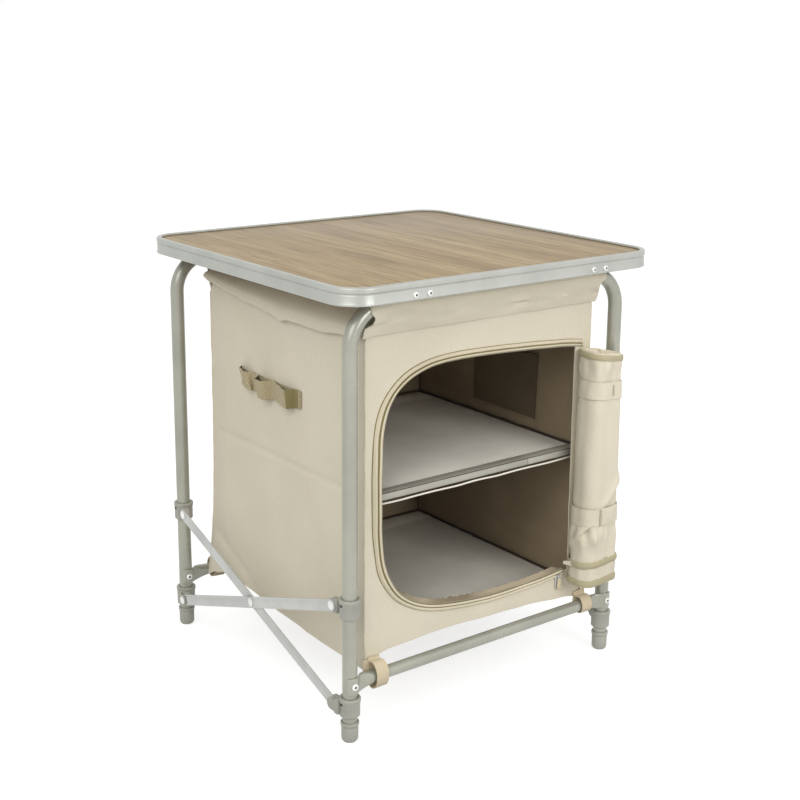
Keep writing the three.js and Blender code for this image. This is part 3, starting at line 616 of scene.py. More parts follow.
# %% [markdown]
# ## Cloth sheets and lofts
# A cloth piece starts as a flat grid. Each point of the grid is then laid where the cloth lies, so
# one short rule describes a wall, a sleeve or a roll. Its map keeps the cloth's size in metres.

# %% Shaped grids
def face_out(piece, outside):
    facing = sum((polygon.normal * polygon.area for polygon in piece.data.polygons), Vector())
    if facing.dot(Vector(outside)) < 0:
        edit_all(piece)
        bpy.ops.mesh.flip_normals()
        object_mode()


def fill_rims(piece):
    edit_rims(piece)
    bpy.ops.mesh.fill_holes(sides=0)
    object_mode()


def shaped(name, columns, rows, lay, size=(1, 1), wall=0.0, closed=False, capped=False, outside=None,
           offset=-1.0, looks=()):
    deselect_all()
    bpy.ops.mesh.primitive_grid_add(x_subdivisions=columns, y_subdivisions=rows, size=1, calc_uvs=True)
    piece = bpy.context.object
    piece.name = name
    for look in looks:
        piece.data.materials.append(finishes[look])
    for point in piece.data.uv_layers.active.data:
        point.uv = (point.uv[0] * size[0], point.uv[1] * size[1])
    for vertex in piece.data.vertices:
        vertex.co = Vector(lay(vertex.co.x + 0.5, vertex.co.y + 0.5))
    if closed:
        edit_all(piece)
        bpy.ops.mesh.remove_doubles(threshold=MERGE)
        object_mode()
    if capped:
        fill_rims(piece)
        close_and_turn_out(piece)
    if outside:
        face_out(piece, outside)
    if wall:
        apply_modifier(piece, "SOLIDIFY", thickness=wall, offset=offset, use_even_offset=False,
                       material_offset=1 if outside else 0)
    smooth(piece)
    return piece


# %% [markdown]
# ### Rules for soft forms
# Cloth is never quite flat. A table of measured places is followed smoothly, a bell makes one fold
# or seam, a fade lets a form die away towards a held edge, and slow noise gives the slack.

# %% Soft rules and cords
def fade(distance, width):
    share = min(max(distance / width, 0), 1)
    return share * share * (3 - 2 * share)


def follow(table, key):
    if key <= table[0][0]:
        return table[0][1]
    for (left, low), (right, high) in zip(table, table[1:]):
        if key <= right:
            return low + (high - low) * fade(key - left, right - left)
    return table[-1][1]


def bell(distance, width):
    return math.exp(-((distance / width) ** 2))


def ripple(a, b, c=0):
    return noise.noise(Vector((a, b, c)))


def slack(a, b, waves, seed=0):
    # Each wave has a step from the seed, a length and an amount.
    return sum(ripple(a / size, b / size, seed + step) * amount for step, size, amount in waves)


def cord(name, points, radius, look):
    deselect_all()
    line = bpy.data.curves.new(name, "CURVE")
    line.dimensions = "3D"
    line.bevel_depth = radius
    line.bevel_resolution = 3
    line.use_fill_caps = True
    spline = line.splines.new("POLY")
    spline.points.add(len(points) - 1)
    for knot, place in zip(spline.points, points):
        knot.co = (*place, 1)
    piece = bpy.data.objects.new(name, line)
    bpy.context.scene.collection.objects.link(piece)
    pick(piece)
    bpy.ops.object.convert(target="MESH")
    return finished(piece, look)


def straight_cord(name, start, end, steps, radius, look):
    return cord(name, [Vector(start).lerp(Vector(end), i / steps) for i in range(steps + 1)], radius, look)


# %% [markdown]
# ## The two bent frames
# Each frame is one steel tube, bent twice into an upside-down U. By hand it is a circle that is
# extruded up the leg, spun round the first bend, extruded along the bar, spun again and led down.

# %% Frame tubes
TUBE_END = 0.004
BEND_STEPS = 14
BEND_Z = BAR_Z - BEND_RADIUS
BEND_X = LEG_X - BEND_RADIUS


def frame_tube(name, leg_y, body):
    deselect_all()
    bpy.ops.mesh.primitive_circle_add(vertices=ROUND_SIDES, radius=TUBE_RADIUS,
                                      location=(-LEG_X, leg_y, TUBE_END))
    piece = bpy.context.object
    apply_place(piece)
    edit_all(piece)
    for run, bend_x in (((0, 0, BEND_Z - TUBE_END), -BEND_X), ((2 * BEND_X, 0, 0), BEND_X)):
        extrude(run)
        bpy.ops.mesh.spin(steps=BEND_STEPS, angle=-QUARTER_TURN, axis=(0, 1, 0),
                          center=(bend_x, leg_y, BEND_Z))
    extrude((0, 0, TUBE_END - BEND_Z))
    edit_rims(piece)
    bpy.ops.mesh.edge_face_add()
    object_mode()
    close_and_turn_out(piece)
    smooth(piece)
    piece.name = name + "_bent"
    dress(piece, body, [name], ["tube"])


for end, leg_y, body in FRAMES:
    frame_tube(end + "_frame_tube", leg_y, body)


# %% [markdown]
# ## Rivets
# A blind rivet has a bright domed head with a hole where its pin broke off. One turned shape
# serves all of them; the hole's floor is a second disc, near-black as painted shade of the hole.

# %% Rivet maker
HEAD_SHARES = ((1, 0), (1, 0.3), (0.86, 0.75), (0.52, 1), (0.40, 1), (0.34, 0.35), (0.02, 0.35))
HOLE_SHADE_SHARES = ((0.33, 0.36), (0.32, 0.5), (0.02, 0.5))


def blind_rivet(radius, height, place, axis):
    parts = []
    for shares, look in ((HEAD_SHARES, "bright_rivet"), (HOLE_SHADE_SHARES, "hole_painted_shade")):
        profile = [(radius * across, height * up) for across, up in shares]
        parts.append(turned("rivet", profile, place, axis, look=look))
    return join("rivet", parts)


# %% [markdown]
# ## Crossbars
# A thinner tube ties the two legs of a frame together. Its ends are pressed flat and wrap round
# the front of the leg, held by one rivet. The section changes from a circle to a flat band as the
# path turns from straight to the curve round the leg.

# %% Crossbars
SADDLE_HALF_HEIGHT = 0.011
SADDLE_RADIUS = 0.0107
SADDLE_HALF_WALL = 0.0011
SADDLE_SQUARENESS = 6.0
SADDLE_RIVET = (0.0046, 0.0018)
RIVET_LIFT = 0.0002
CROSSBAR_MAP = (0.45, 0.05)
# Place, shift to the front, half thickness, half height and squareness.
NECK = ((-0.2085, -0.0048, 0.0022, 0.0110, 5.0), (-0.2040, -0.0020, 0.0038, 0.0108, 4.0),
        (-0.1980, -0.0006, 0.0056, 0.0100, 3.0), (-0.1910, 0, 0.0072, 0.0089, 2.3),
        (-0.1840, 0, 0.0079, 0.0082, 2.0), (-0.1760, 0, 0.0080, 0.0080, 2.0),
        (-0.05, 0, 0.0080, 0.0080, 2.0))


def crossbar_stations(leg_y):
    # The saddle bends round the leg, then the neck leads to the straight tube.
    stations = []
    for x, y in arc(0, leg_y, SADDLE_RADIUS, -40, -140, 10):
        stations.append((-LEG_X - x, y, SADDLE_HALF_WALL, SADDLE_HALF_HEIGHT, SADDLE_SQUARENESS))
    stations += [(x, leg_y + shift, *section) for x, shift, *section in NECK]
    return stations + [(-x, *rest) for x, *rest in reversed(stations)]


def squared(share, squareness):
    return math.copysign(abs(share) ** (2 / squareness), share)


def crossbar(name, leg_y, body):
    route = crossbar_stations(leg_y)
    last = len(route) - 1

    def lay(u, v):
        index = round(u * last)
        x, y, thick, tall, squareness = route[index]
        before = route[max(index - 1, 0)]
        after = route[min(index + 1, last)]
        along = Vector((after[0] - before[0], after[1] - before[1], 0)).normalized()
        flat = thick * squared(math.cos(FULL_TURN * v), squareness)
        high = tall * squared(math.sin(FULL_TURN * v), squareness)
        return (x - along.y * flat, y + along.x * flat, CROSSBAR_Z + high)

    bar = shaped(name + "_pressed", last, ROUND_SIDES, lay, CROSSBAR_MAP, closed=True, capped=True)
    bar.data.materials.append(finishes["tube"])
    seat = leg_y - SADDLE_RADIUS - SADDLE_HALF_WALL + RIVET_LIFT
    rivets = [blind_rivet(*SADDLE_RIVET, (side * LEG_X, seat, CROSSBAR_Z), "-Y") for _, side in SIDES]
    dress(join(bar.name, [bar] + rivets), body, [name])


for end, leg_y, body in FRAMES:
    crossbar(end + "_crossbar", leg_y, body)

# %% [markdown]
# ## Feet
# A nylon cap closes each leg. It has a flat lip at the top, straight sides with a shallow groove
# below the lip, and a rounded sole.

# %% Feet
FOOT_PROFILE = ((0.0010, 0.0), (0.0066, 0.0), (0.0086, 0.0006), (0.0100, 0.0024), (0.0107, 0.0048),
                (0.0108, 0.0196), (0.0105, 0.0202), (0.0105, 0.0210), (0.0112, 0.0216), (0.0118, 0.0228),
                (0.0119, 0.0258), (0.0114, 0.0268), (0.0104, 0.0270), (0.0098, 0.0266))
first_foot = turned("foot_cap", FOOT_PROFILE, (0, 0, 0), sides=ROUND_SIDES, look="plastic")
for end, leg_y, body in FRAMES:
    for side_name, side in SIDES:
        cap = copy_piece(first_foot, f"foot_cap_{end}_{side_name}", (side * LEG_X, leg_y, 0))
        dress(cap, body, [f"foot_{end}_{side_name}"])
bpy.data.objects.remove(first_foot)

# %% [markdown]
# ## Collars
# Eight nylon collars hold the scissor bars: the lower four are fixed on the legs, the upper four
# slide. Each is a ring with a lip at its top and a lug at its side, and a screw hole in its face.
# At the lower ones a cheek covers the bar's end, so that bar turns in a fork.

# %% Collars
COLLAR_HALF_HEIGHT = 0.0125
COLLAR_PROFILE = ((0.0098, 0.0), (0.0116, 0.0), (0.0130, 0.0013), (0.0131, 0.0190), (0.0139, 0.0203),
                  (0.0140, 0.0240), (0.0133, 0.0250), (0.0104, 0.0250), (0.0098, 0.0243), (0.0098, 0.0))
SCREW_PROFILE = ((0.0024, 0), (0.0024, 0.0006), (0.0017, 0.0008), (0.0015, 0.0003), (0.0001, 0.0003))
SCREW_RISE = 0.0060
SCREW_FACE = 0.0128
LUG_ROOT = 0.0108
LUG_SEAT = 0.004
INNER_LUG_FACE = 0.0100
OUTER_LUG_FACE = 0.0126
LUG = (0.009, 0.0008)
CHEEK = (0.0078, 0.0006)
CHEEK_WALL = 0.0017
WEB_BACK = 0.0065
WEB_FRONT = 0.0016
WEB_HALF = 0.0098
WEB_BEVEL = 0.0012
INNER_BAR_FACE = 0.0103
OUTER_BAR_FACE = 0.0129
CHEEK_PIN_FACE = 0.0152
BAR_WALL = 0.002
RIVET_PROFILE = ((0.0050, -0.0006), (0.0058, 0.0), (0.0058, 0.0006), (0.0048, 0.0014), (0.0030, 0.0018),
                 (0.0002, 0.0019))
FRONT_Y = (FRONT_LEG_Y, FRONT_PIVOT_Y)
REAR_Y = (REAR_LEG_Y, REAR_PIVOT_Y)
# Name, leg and pivot, height, faces of lug, pin and cheek, and the body that carries it.
COLLARS = (("front_lower", FRONT_Y, LOW_PIVOT_Z, INNER_LUG_FACE, INNER_BAR_FACE, 0.0161, "front_frame"),
           ("rear_lower", REAR_Y, LOW_PIVOT_Z, OUTER_LUG_FACE, CHEEK_PIN_FACE, 0.0172, "rear_frame"),
           ("front_upper", FRONT_Y, HIGH_PIVOT_Z, OUTER_LUG_FACE, OUTER_BAR_FACE, 0, "front_collar_"),
           ("rear_upper", REAR_Y, HIGH_PIVOT_Z, INNER_LUG_FACE, INNER_BAR_FACE, 0, "rear_collar_"))


def collar(name, places, height, lug_face, cheek_face):
    leg_y, pivot_y = places
    inward = 1 if pivot_y > leg_y else -1
    root = leg_y + inward * LUG_ROOT

    def tongue(radius, bevel, face, depth):
        outline = [(0, root, height + radius), (0, root, height - radius)]
        outline += [(0, pivot_y + inward * a, height + b) for a, b in arc(0, 0, radius, -90, 90)]
        return prism("tongue", outline, (-LEG_X - face, 0, 0), (depth, 0, 0), bevel, look="plastic")

    parts = [turned(name, COLLAR_PROFILE, (-LEG_X, leg_y, height - COLLAR_HALF_HEIGHT), sides=ROUND_SIDES,
                    bored=True, look="plastic"),
             tongue(*LUG, lug_face, lug_face - LUG_SEAT),
             # The screw hole is a near-black disc on the face: painted shade.
             turned("screw", SCREW_PROFILE, (-LEG_X - SCREW_FACE, leg_y, height + SCREW_RISE), "-X",
                    look="hole_painted_shade")]
    if cheek_face:
        parts.append(tongue(*CHEEK, cheek_face, CHEEK_WALL))
        parts.append(block("web", (-LEG_X - cheek_face, root - inward * WEB_BACK, height - WEB_HALF),
                           (-LEG_X - LUG_SEAT, root + inward * WEB_FRONT, height + WEB_HALF), WEB_BEVEL,
                           look="plastic"))
    return join(name, parts)


for name, places, height, lug_face, pin_face, cheek_face, body in COLLARS:
    left = collar(f"nylon_collar_{name}_left", places, height, lug_face, cheek_face)
    right = copy_piece(left, f"nylon_collar_{name}_right", mirror_x=True)
    seat = (-LEG_X - pin_face - BAR_WALL, places[1], height)
    left_pin = turned(f"pin_head_{name}_left", RIVET_PROFILE, seat, "-X", look="bright_rivet")
    right_pin = copy_piece(left_pin, f"pin_head_{name}_right", mirror_x=True)
    for side_name, ring, pin in (("left", left, left_pin), ("right", right, right_pin)):
        carrier = body + side_name if body.endswith("_") else body
        dress(ring, carrier, [f"collar_{name}_{side_name}"])
        dress(pin, carrier, [f"pivot_rivet_{name}_{side_name}"])

# %% [markdown]
# ## Scissor bars
# Four flat zinc-plated bars cross at the sides, two and two. Each has round ends and a shallow
# pressed field, which shows as a fine line along both edges. One rivet holds each pair where they
# cross, with a head on both faces.

# %% Scissor bars
BAR_HALF_WIDTH = 0.00775
BAR_BEVEL = 0.0004
FIELD_INSET = 0.0021
FIELD_SLOPE = 0.0006
FIELD_DEPTH = -0.0003
FIELD_AREA = 0.001
BAR_REACH = (REAR_PIVOT_Y - FRONT_PIVOT_Y, HIGH_PIVOT_Z - LOW_PIVOT_Z)
BAR_HALF = math.hypot(*BAR_REACH) / 2
BAR_TILT = math.atan2(BAR_REACH[1], BAR_REACH[0])
MIDDLE_YZ = ((FRONT_PIVOT_Y + REAR_PIVOT_Y) / 2, (LOW_PIVOT_Z + HIGH_PIVOT_Z) / 2)
# Name, face towards the leg and tilt.
BARS = (("inner_bar", INNER_BAR_FACE, BAR_TILT), ("outer_bar", OUTER_BAR_FACE, -BAR_TILT))


def scissor_bar(name, face, tilt):
    ends = arc(BAR_HALF, 0, BAR_HALF_WIDTH, -90, 90) + arc(-BAR_HALF, 0, BAR_HALF_WIDTH, 90, 270)
    bar = prism(name, [(0, a, b) for a, b in ends], (-LEG_X - face, 0, 0), (-BAR_WALL, 0, 0), BAR_BEVEL)
    edit_all(bar)
    bpy.ops.mesh.select_all(action="DESELECT")
    object_mode()
    for polygon in bar.data.polygons:
        polygon.select = abs(polygon.normal.x) > 0.99 and polygon.area > FIELD_AREA
    bpy.ops.object.mode_set(mode="EDIT")
    bpy.ops.mesh.select_mode(type="FACE")
    bpy.ops.mesh.inset(thickness=FIELD_INSET, depth=0)
    bpy.ops.mesh.inset(thickness=FIELD_SLOPE, depth=FIELD_DEPTH)
    bpy.ops.mesh.select_mode(type="VERT")
    object_mode()
    bar.data.transform(Matrix.Translation((0, *MIDDLE_YZ)) @ Matrix.Rotation(tilt, 4, "X"))
    return finished(bar, "steel")


def dress_pair(left, right, bodies, nodes):
    for piece, side_name in ((left, "left"), (right, "right")):
        dress(piece, bodies + side_name, [nodes + side_name])


for bar_name, face, tilt in BARS:
    left = scissor_bar(f"flat_{bar_name}_left", face, tilt)
    right = copy_piece(left, f"flat_{bar_name}_right", mirror_x=True)
    dress_pair(left, right, bar_name + "_", bar_name + "_")

heads = [turned("centre_pin", RIVET_PROFILE, (-LEG_X - away, *MIDDLE_YZ), axis, look="bright_rivet")
         for away, axis in ((OUTER_BAR_FACE + BAR_WALL, "-X"), (INNER_BAR_FACE, "+X"))]
left = join("centre_pin_left", heads)
dress_pair(left, copy_piece(left, "centre_pin_right", mirror_x=True), "inner_bar_", "centre_rivet_")

# %% [markdown]
# ## The tabletop's board
# The board is a flat rounded rectangle with its sharp edges just broken. It lies in the groove of
# the edge profile, so it is a little smaller than the top.

# %% Tabletop board
TOP_HALF_WIDTH = 0.2525
TOP_HALF_DEPTH = 0.245
TOP_CORNER = 0.040
BOARD_INSET = 0.0023
BOARD_LOW = 0.5745
BOARD_THICK = 0.0075
BOARD_BEVEL = 0.0004
sizes = [size - BOARD_INSET for size in (TOP_HALF_WIDTH, TOP_HALF_DEPTH, TOP_CORNER)]
outline = [(a, b, 0) for a, b in rounded_outline(*sizes)]
board = prism("laminated_board", outline, (0, 0, BOARD_LOW), (0, 0, BOARD_THICK), BOARD_BEVEL,
              look="wood_laminate")
dress(board, "tabletop", ["tabletop_board"])

# %% [markdown]
# ## The tabletop's edge profile
# The aluminium extrusion has a raised lip, a groove along its face and a hollow back. It is drawn
# once as a section and led round the outline: extruded along a side, spun round a corner, four
# times, then closed. A maker bends one length of it the same way.

# %% Edge profile
PROFILE_SECTION = (
    (0.0004, 0.5632), (0.0130, 0.5630), (0.0130, 0.5645), (0.0022, 0.5647), (0.0020, 0.5730),
    (0.0070, 0.5730), (0.0070, 0.5742), (0.0022, 0.5744), (0.0022, 0.5822), (0.0062, 0.5822),
    (0.0069, 0.5828), (0.0070, 0.5840), (0.0064, 0.5848), (0.0054, 0.5850), (0.0020, 0.5850),
    (0.0009, 0.5847), (0.0002, 0.5839), (0.0, 0.5828), (0.0, 0.5786), (0.0005, 0.5779),
    (0.0014, 0.5775), (0.0015, 0.5767), (0.0009, 0.5761), (0.0006, 0.5750), (0.0007, 0.5668),
    (0.0003, 0.5660), (0.0, 0.5652), (0.0, 0.5637))
SIDE_X = TOP_HALF_WIDTH - TOP_CORNER
SIDE_Y = TOP_HALF_DEPTH - TOP_CORNER
RUNS = (((0, 2 * SIDE_Y, 0), (SIDE_X, SIDE_Y, 0)), ((-2 * SIDE_X, 0, 0), (-SIDE_X, SIDE_Y, 0)),
        ((0, -2 * SIDE_Y, 0), (-SIDE_X, -SIDE_Y, 0)), ((2 * SIDE_X, 0, 0), (SIDE_X, -SIDE_Y, 0)))
SECTION_MERGE = 0.0001

deselect_all()
bpy.ops.mesh.primitive_circle_add(vertices=len(PROFILE_SECTION))
edge = bpy.context.object
for vertex, (inset, height) in zip(edge.data.vertices, PROFILE_SECTION):
    vertex.co = (TOP_HALF_WIDTH - inset, -SIDE_Y, height)
edit_all(edge)
for run, corner in RUNS:
    extrude(run)
    bpy.ops.mesh.spin(steps=BEND_STEPS, angle=-QUARTER_TURN, axis=(0, 0, 1), center=corner)
object_mode()
close_and_turn_out(edge, SECTION_MERGE)
smooth(edge)
edge.name = "edge_extrusion"
dress(edge, "tabletop", ["edge_profile"], ["aluminium"])

# %% [markdown]
# ## Bar clips
# Four formed clips under the top grip the frames' bars. Only their rivets show from the front:
# two bright heads for each clip on the edge profile.

# %% Bar clips
CLIP_X = 0.145
CLIP_HALF = 0.017
CLIP_WALL = 0.0018
CLIP_BEVEL = 0.0004
CLIP_INSET = 0.0024
CLIP_RIVET = (0.0040, 0.0024)
CLIP_RIVET_X = 0.0105
CLIP_RIVET_Z = 0.5695
CLIP_RIVET_INSET = 0.0006
FLANGE_Z = (0.5650, 0.5724)
ARM_Z = (0.5650, 0.5667)
ARM_PAST_BAR = 0.006
CUP_INSIDE = 0.0113
CUP_OUTSIDE = 0.0133
CUP_BEVEL = 0.0003
for end, leg_y, body in FRAMES:
    facing = -1 if end == "front" else 1
    wall_y = facing * (TOP_HALF_DEPTH - CLIP_INSET)
    flange_y = wall_y - facing * CLIP_WALL
    arm_y = leg_y - facing * ARM_PAST_BAR
    rim = arc(leg_y, BAR_Z, CUP_OUTSIDE, 35, 145) + arc(leg_y, BAR_Z, CUP_INSIDE, 145, 35)
    rim = [(0, a, b) for a, b in rim]
    for side_name, side in SIDES:
        middle = side * CLIP_X
        left, right = middle - CLIP_HALF, middle + CLIP_HALF
        parts = []
        for end_y, (low, high) in ((flange_y, FLANGE_Z), (arm_y, ARM_Z)):
            parts.append(block("plate", (left, wall_y, low), (right, end_y, high), CLIP_BEVEL,
                               look="aluminium"))
        parts.append(prism("cup", rim, (left, 0, 0), (right - left, 0, 0), CUP_BEVEL, look="aluminium"))
        for step in (-1, 1):
            seat = (middle + step * CLIP_RIVET_X, facing * (TOP_HALF_DEPTH - CLIP_RIVET_INSET), CLIP_RIVET_Z)
            parts.append(blind_rivet(*CLIP_RIVET, seat, "-Y" if facing < 0 else "+Y"))
        clip = join(f"formed_clip_{end}_{side_name}", parts)
        dress(clip, "tabletop", [f"bar_clip_{end}_{side_name}"])

# %% [markdown]
# ## The door opening
# The door's edge is not a drawn curve but sewn cloth, so its line is a smooth path through a few
# measured places. The zip band, the panel's hole and the piping all follow the same path.

# %% Door path
DOOR_KNOTS = ((0.152, 0.1342), (0.100, 0.1292), (0.050, 0.1282), (0.000, 0.1302), (-0.040, 0.1340),
              (-0.075, 0.1402), (-0.105, 0.1505), (-0.130, 0.1668), (-0.147, 0.1890), (-0.1575, 0.2160),
              (-0.1625, 0.2520), (-0.1640, 0.3000), (-0.1640, 0.3480), (-0.1618, 0.3830), (-0.1550, 0.4120),
              (-0.1430, 0.4340), (-0.1230, 0.4510), (-0.0980, 0.4605), (-0.0700, 0.4648), (-0.0300, 0.4660),
              (0.0200, 0.4648), (0.0700, 0.4620), (0.1200, 0.4585), (0.1500, 0.4560), (0.1700, 0.4530))
STEPS_PER_KNOT = 6
FRONT_WAVES = ((2.7, 0.085, 0.0032), (9.1, 0.034, 0.0010))
FRONT_OUT = 0.0006
HELD_SIDE = 0.02
HELD_TOP = (0.535, 0.03)
SEAM_FOLD = (0.1765, 0.0030, 0.0012)
SEAM_SWAY = (0.004, 17)
SEAM_TOP = (0.47, 0.08)


def smooth_path(knots, steps):
    points = []
    knots = [Vector(knot) for knot in knots]
    for i in range(len(knots) - 1):
        before = knots[max(i - 1, 0)]
        start, end = knots[i], knots[i + 1]
        after = knots[min(i + 2, len(knots) - 1)]
        for j in range(steps):
            t = j / steps
            points.append(0.5 * ((2 * start) + (end - before) * t
                                 + (2 * before - 5 * start + 4 * end - after) * t * t
                                 + (3 * start - before - 3 * end + after) * t ** 3))
    points.append(knots[-1])
    return points


def resample(points, count):
    lengths = [0.0]
    for start, end in zip(points, points[1:]):
        lengths.append(lengths[-1] + (end - start).length)
    result = []
    for i in range(count + 1):
        target = lengths[-1] * i / count
        k = 0
        while k < len(points) - 2 and lengths[k + 1] < target:
            k += 1
        share = (target - lengths[k]) / max(lengths[k + 1] - lengths[k], 1e-9)
        result.append(points[k].lerp(points[k + 1], min(max(share, 0), 1)))
    return result


def across(before, after):
    along = (after - before).normalized()
    return Vector((-along.y, along.x))


def outward_at(index):
    return across(door_path[max(index - 1, 0)], door_path[min(index + 1, len(door_path) - 1)])


def front_y(x, z):
    loose = slack(x, z, FRONT_WAVES)
    place, width, height = SEAM_FOLD
    sway = SEAM_SWAY[0] * math.sin(z * SEAM_SWAY[1])
    loose += height * bell(x + place + sway, width) * fade(SEAM_TOP[0] - z, SEAM_TOP[1])
    held = fade(BAG_HALF - abs(x), HELD_SIDE) * fade(HELD_TOP[0] - z, HELD_TOP[1])
    return BAG_FRONT - (FRONT_OUT + loose * held)


door_path = smooth_path(DOOR_KNOTS, STEPS_PER_KNOT)
print("door path:", len(door_path), "places")


# %% [markdown]
# ## Front panel
# The panel is a sheet with a hole: the grid runs round the door as columns and from the door's edge
# to the panel's outer edge as rows. Its lower hem hangs a little lower at both corners, where the
# tapes pull it to the crossbar.

# %% Front panel
HOLE_GROW = 0.003
HINGE_X = 0.161
SIDE_STEPS = 40
PANEL_ROWS = 22
FRONT_HEM = ((-0.188, 0.080), (-0.181, 0.0915), (-0.172, 0.0965), (-0.151, 0.1005), (-0.121, 0.1015),
             (-0.061, 0.1020), (-0.030, 0.1016), (0.003, 0.1002), (0.087, 0.0962), (0.150, 0.0915),
             (0.188, 0.086))
CORNER_LOW = 8 * STEPS_PER_KNOT
CORNER_HIGH = 15 * STEPS_PER_KNOT
hole = [point + outward_at(i) * HOLE_GROW for i, point in enumerate(door_path)]
top_right = Vector((HINGE_X, hole[-1].y))
low_right = Vector((HINGE_X, hole[0].y))
upper_run = [place for place in hole[CORNER_HIGH:] if place.x < HINGE_X]
hole_runs = ([low_right] + hole[: CORNER_LOW + 1], hole[CORNER_LOW: CORNER_HIGH + 1],
             upper_run + [top_right], [top_right, low_right])
hole_sides = [resample(run, SIDE_STEPS) for run in hole_runs]
outer_corners = [Vector(corner) for corner in ((BAG_HALF, 0), (-BAG_HALF, 0), (-BAG_HALF, BAG_TOP),
                                               (BAG_HALF, BAG_TOP), (BAG_HALF, 0))]


def panel_point(u, v):
    index = round(u * 4 * SIDE_STEPS)
    side = min(index // SIDE_STEPS, 3)
    step = index - side * SIDE_STEPS
    outer = outer_corners[side].lerp(outer_corners[side + 1], step / SIDE_STEPS)
    hem = follow(FRONT_HEM, outer.x)
    outer = Vector((outer.x, hem + outer.y / BAG_TOP * (BAG_TOP - hem)))
    place = hole_sides[side][step].lerp(outer, v)
    return (place.x, front_y(place.x, place.y), place.y)


# The inner side takes the darkened inside finish: painted shade.
front = shaped("front_cloth", 4 * SIDE_STEPS, PANEL_ROWS, panel_point, wall=CLOTH_WALL, closed=True,
               outside=(0, -1, 0), looks=("beige", "lining"))
for loop in front.data.loops:
    place = front.data.vertices[loop.vertex_index].co
    front.data.uv_layers.active.data[loop.index].uv = (place.x, place.z)
smooth(front)
dress(front, "front_frame", ["front_panel"])

# %% [markdown]
# ## Zip band
# Round the door runs the zip tape with its coil: two low rounded ribs with a groove between, a dark
# edge towards the opening and an olive edge outside. The groove is coloured olive as painted shade,
# and the outer edge's olive is olive tape and painted shade together. It is widest at the left,
# where the tape opens out, and narrow at the bottom.

# %% Zip band
BAND_SECTION = ((-0.04, 0.0002), (0.0, 0.0012), (0.05, 0.0019), (0.13, 0.0027), (0.22, 0.0029),
                (0.31, 0.0024), (0.37, 0.0012), (0.42, 0.0008), (0.47, 0.0013), (0.55, 0.0027),
                (0.66, 0.0032), (0.77, 0.0028), (0.84, 0.0016), (0.88, 0.0009), (0.93, 0.0010),
                (0.97, 0.0008), (1.0, 0.0002))
BAND_WIDTHS = ((0, 0.0085), (36, 0.0090), (54, 0.0130), (66, 0.0150), (80, 0.0150), (92, 0.0120),
               (108, 0.0100), (144, 0.0095))
BAND_MAP = (1.5, 0.015)
BAND_WALL = 0.0006
BAND_ROWS = len(BAND_SECTION) - 1
last_station = len(door_path) - 1


def band_point(u, v):
    station = round(u * last_station)
    share, height = BAND_SECTION[round(v * BAND_ROWS)]
    place = door_path[station] + outward_at(station) * (share * follow(BAND_WIDTHS, station))
    wobble = 1 + 0.12 * ripple(place.x * 60, place.y * 60, 4.0)
    return (place.x, front_y(place.x, place.y) - height * wobble, place.y)


band = shaped("zip_tape", last_station, BAND_ROWS, band_point, BAND_MAP, outside=(0, -1, 0))
for look in ("cream", "olive_and_painted_shade", "dark_cord"):
    band.data.materials.append(finishes[look])
for polygon in band.data.polygons:
    heights = [band.data.uv_layers.active.data[i].uv[1] for i in polygon.loop_indices]
    row = sum(heights) / len(heights) / BAND_MAP[1] * BAND_ROWS
    # Painted shade: the groove's faces and the outer edge take the olive finish.
    if row > 13.5 or 5.5 < row < 7.5:
        polygon.material_index = 1
    if row < 1.2:
        polygon.material_index = 2
apply_modifier(band, "SOLIDIFY", thickness=BAND_WALL, offset=-1)
print("zip tape rows:", BAND_ROWS)

# %% [markdown]
# ## Zip coil
# The teeth of this zip are one nylon thread, wound to a fine coil and sewn along the inner edge of
# the tape. A cord that turns round the path with an even pitch is the same thing.

# %% Zip coil
COIL_RADIUS = 0.0009
COIL_THREAD = 0.0004
COIL_TURNS = 562
COIL_POINTS = 6
COIL_IN = 0.0006
coil_line = resample(door_path, COIL_TURNS * COIL_POINTS)
coil_points = []
for i, (place, following) in enumerate(zip(coil_line, coil_line[1:])):
    angle = FULL_TURN * i / COIL_POINTS
    shift = across(following, place) * (COIL_IN + COIL_RADIUS * math.cos(angle))
    depth = front_y(place.x, place.y) + COIL_IN + COIL_RADIUS * math.sin(angle)
    coil_points.append((place.x + shift.x, depth, place.y + shift.y))
coil = cord("zip_coil", coil_points, COIL_THREAD, "binding")
print("zip coil faces:", len(coil.data.polygons))

# %% [markdown]
# ## Slider
# The slider is a small cast body that rides on the coil. Two ears on its face hold the pin on which
# the puller hangs, and a metal stop closes the zip's far end.

# %% Slider body
SLIDER_X = 0.1415
SLIDER_HALF = 0.0045
SLIDER_FACE = -0.1941
SLIDER_BACK = -0.1906
SLIDER_HEIGHT = 0.0170
SLIDER_BEVEL = 0.0012
EAR_X = 0.0029
EAR_HALF = 0.0006
EAR_Y = (SLIDER_FACE - 0.0040, SLIDER_FACE + 0.0008)
EAR_Z = 0.0017
EAR_BEVEL = 0.0003
PIN_PLACE = (SLIDER_X, -0.1966, 0.128)
PIN_PROFILE = ((0.0011, -0.0034), (0.0011, 0.0034), (0.0002, 0.0034))
STOP_LOW = (0.1702, -0.1938, 0.4520)
STOP_HIGH = (0.1722, -0.1912, 0.4575)
STOP_BEVEL = 0.0006
pin_z = PIN_PLACE[2]
slider = [block("slider", (SLIDER_X - SLIDER_HALF, SLIDER_FACE, pin_z - SLIDER_HEIGHT),
                (SLIDER_X + SLIDER_HALF, SLIDER_BACK, pin_z), SLIDER_BEVEL, 3, look="steel")]
for step in (-1, 1):
    middle = SLIDER_X + step * EAR_X
    slider.append(block("ear", (middle - EAR_HALF, EAR_Y[0], pin_z - EAR_Z),
                        (middle + EAR_HALF, EAR_Y[1], pin_z + EAR_Z), EAR_BEVEL, look="steel"))
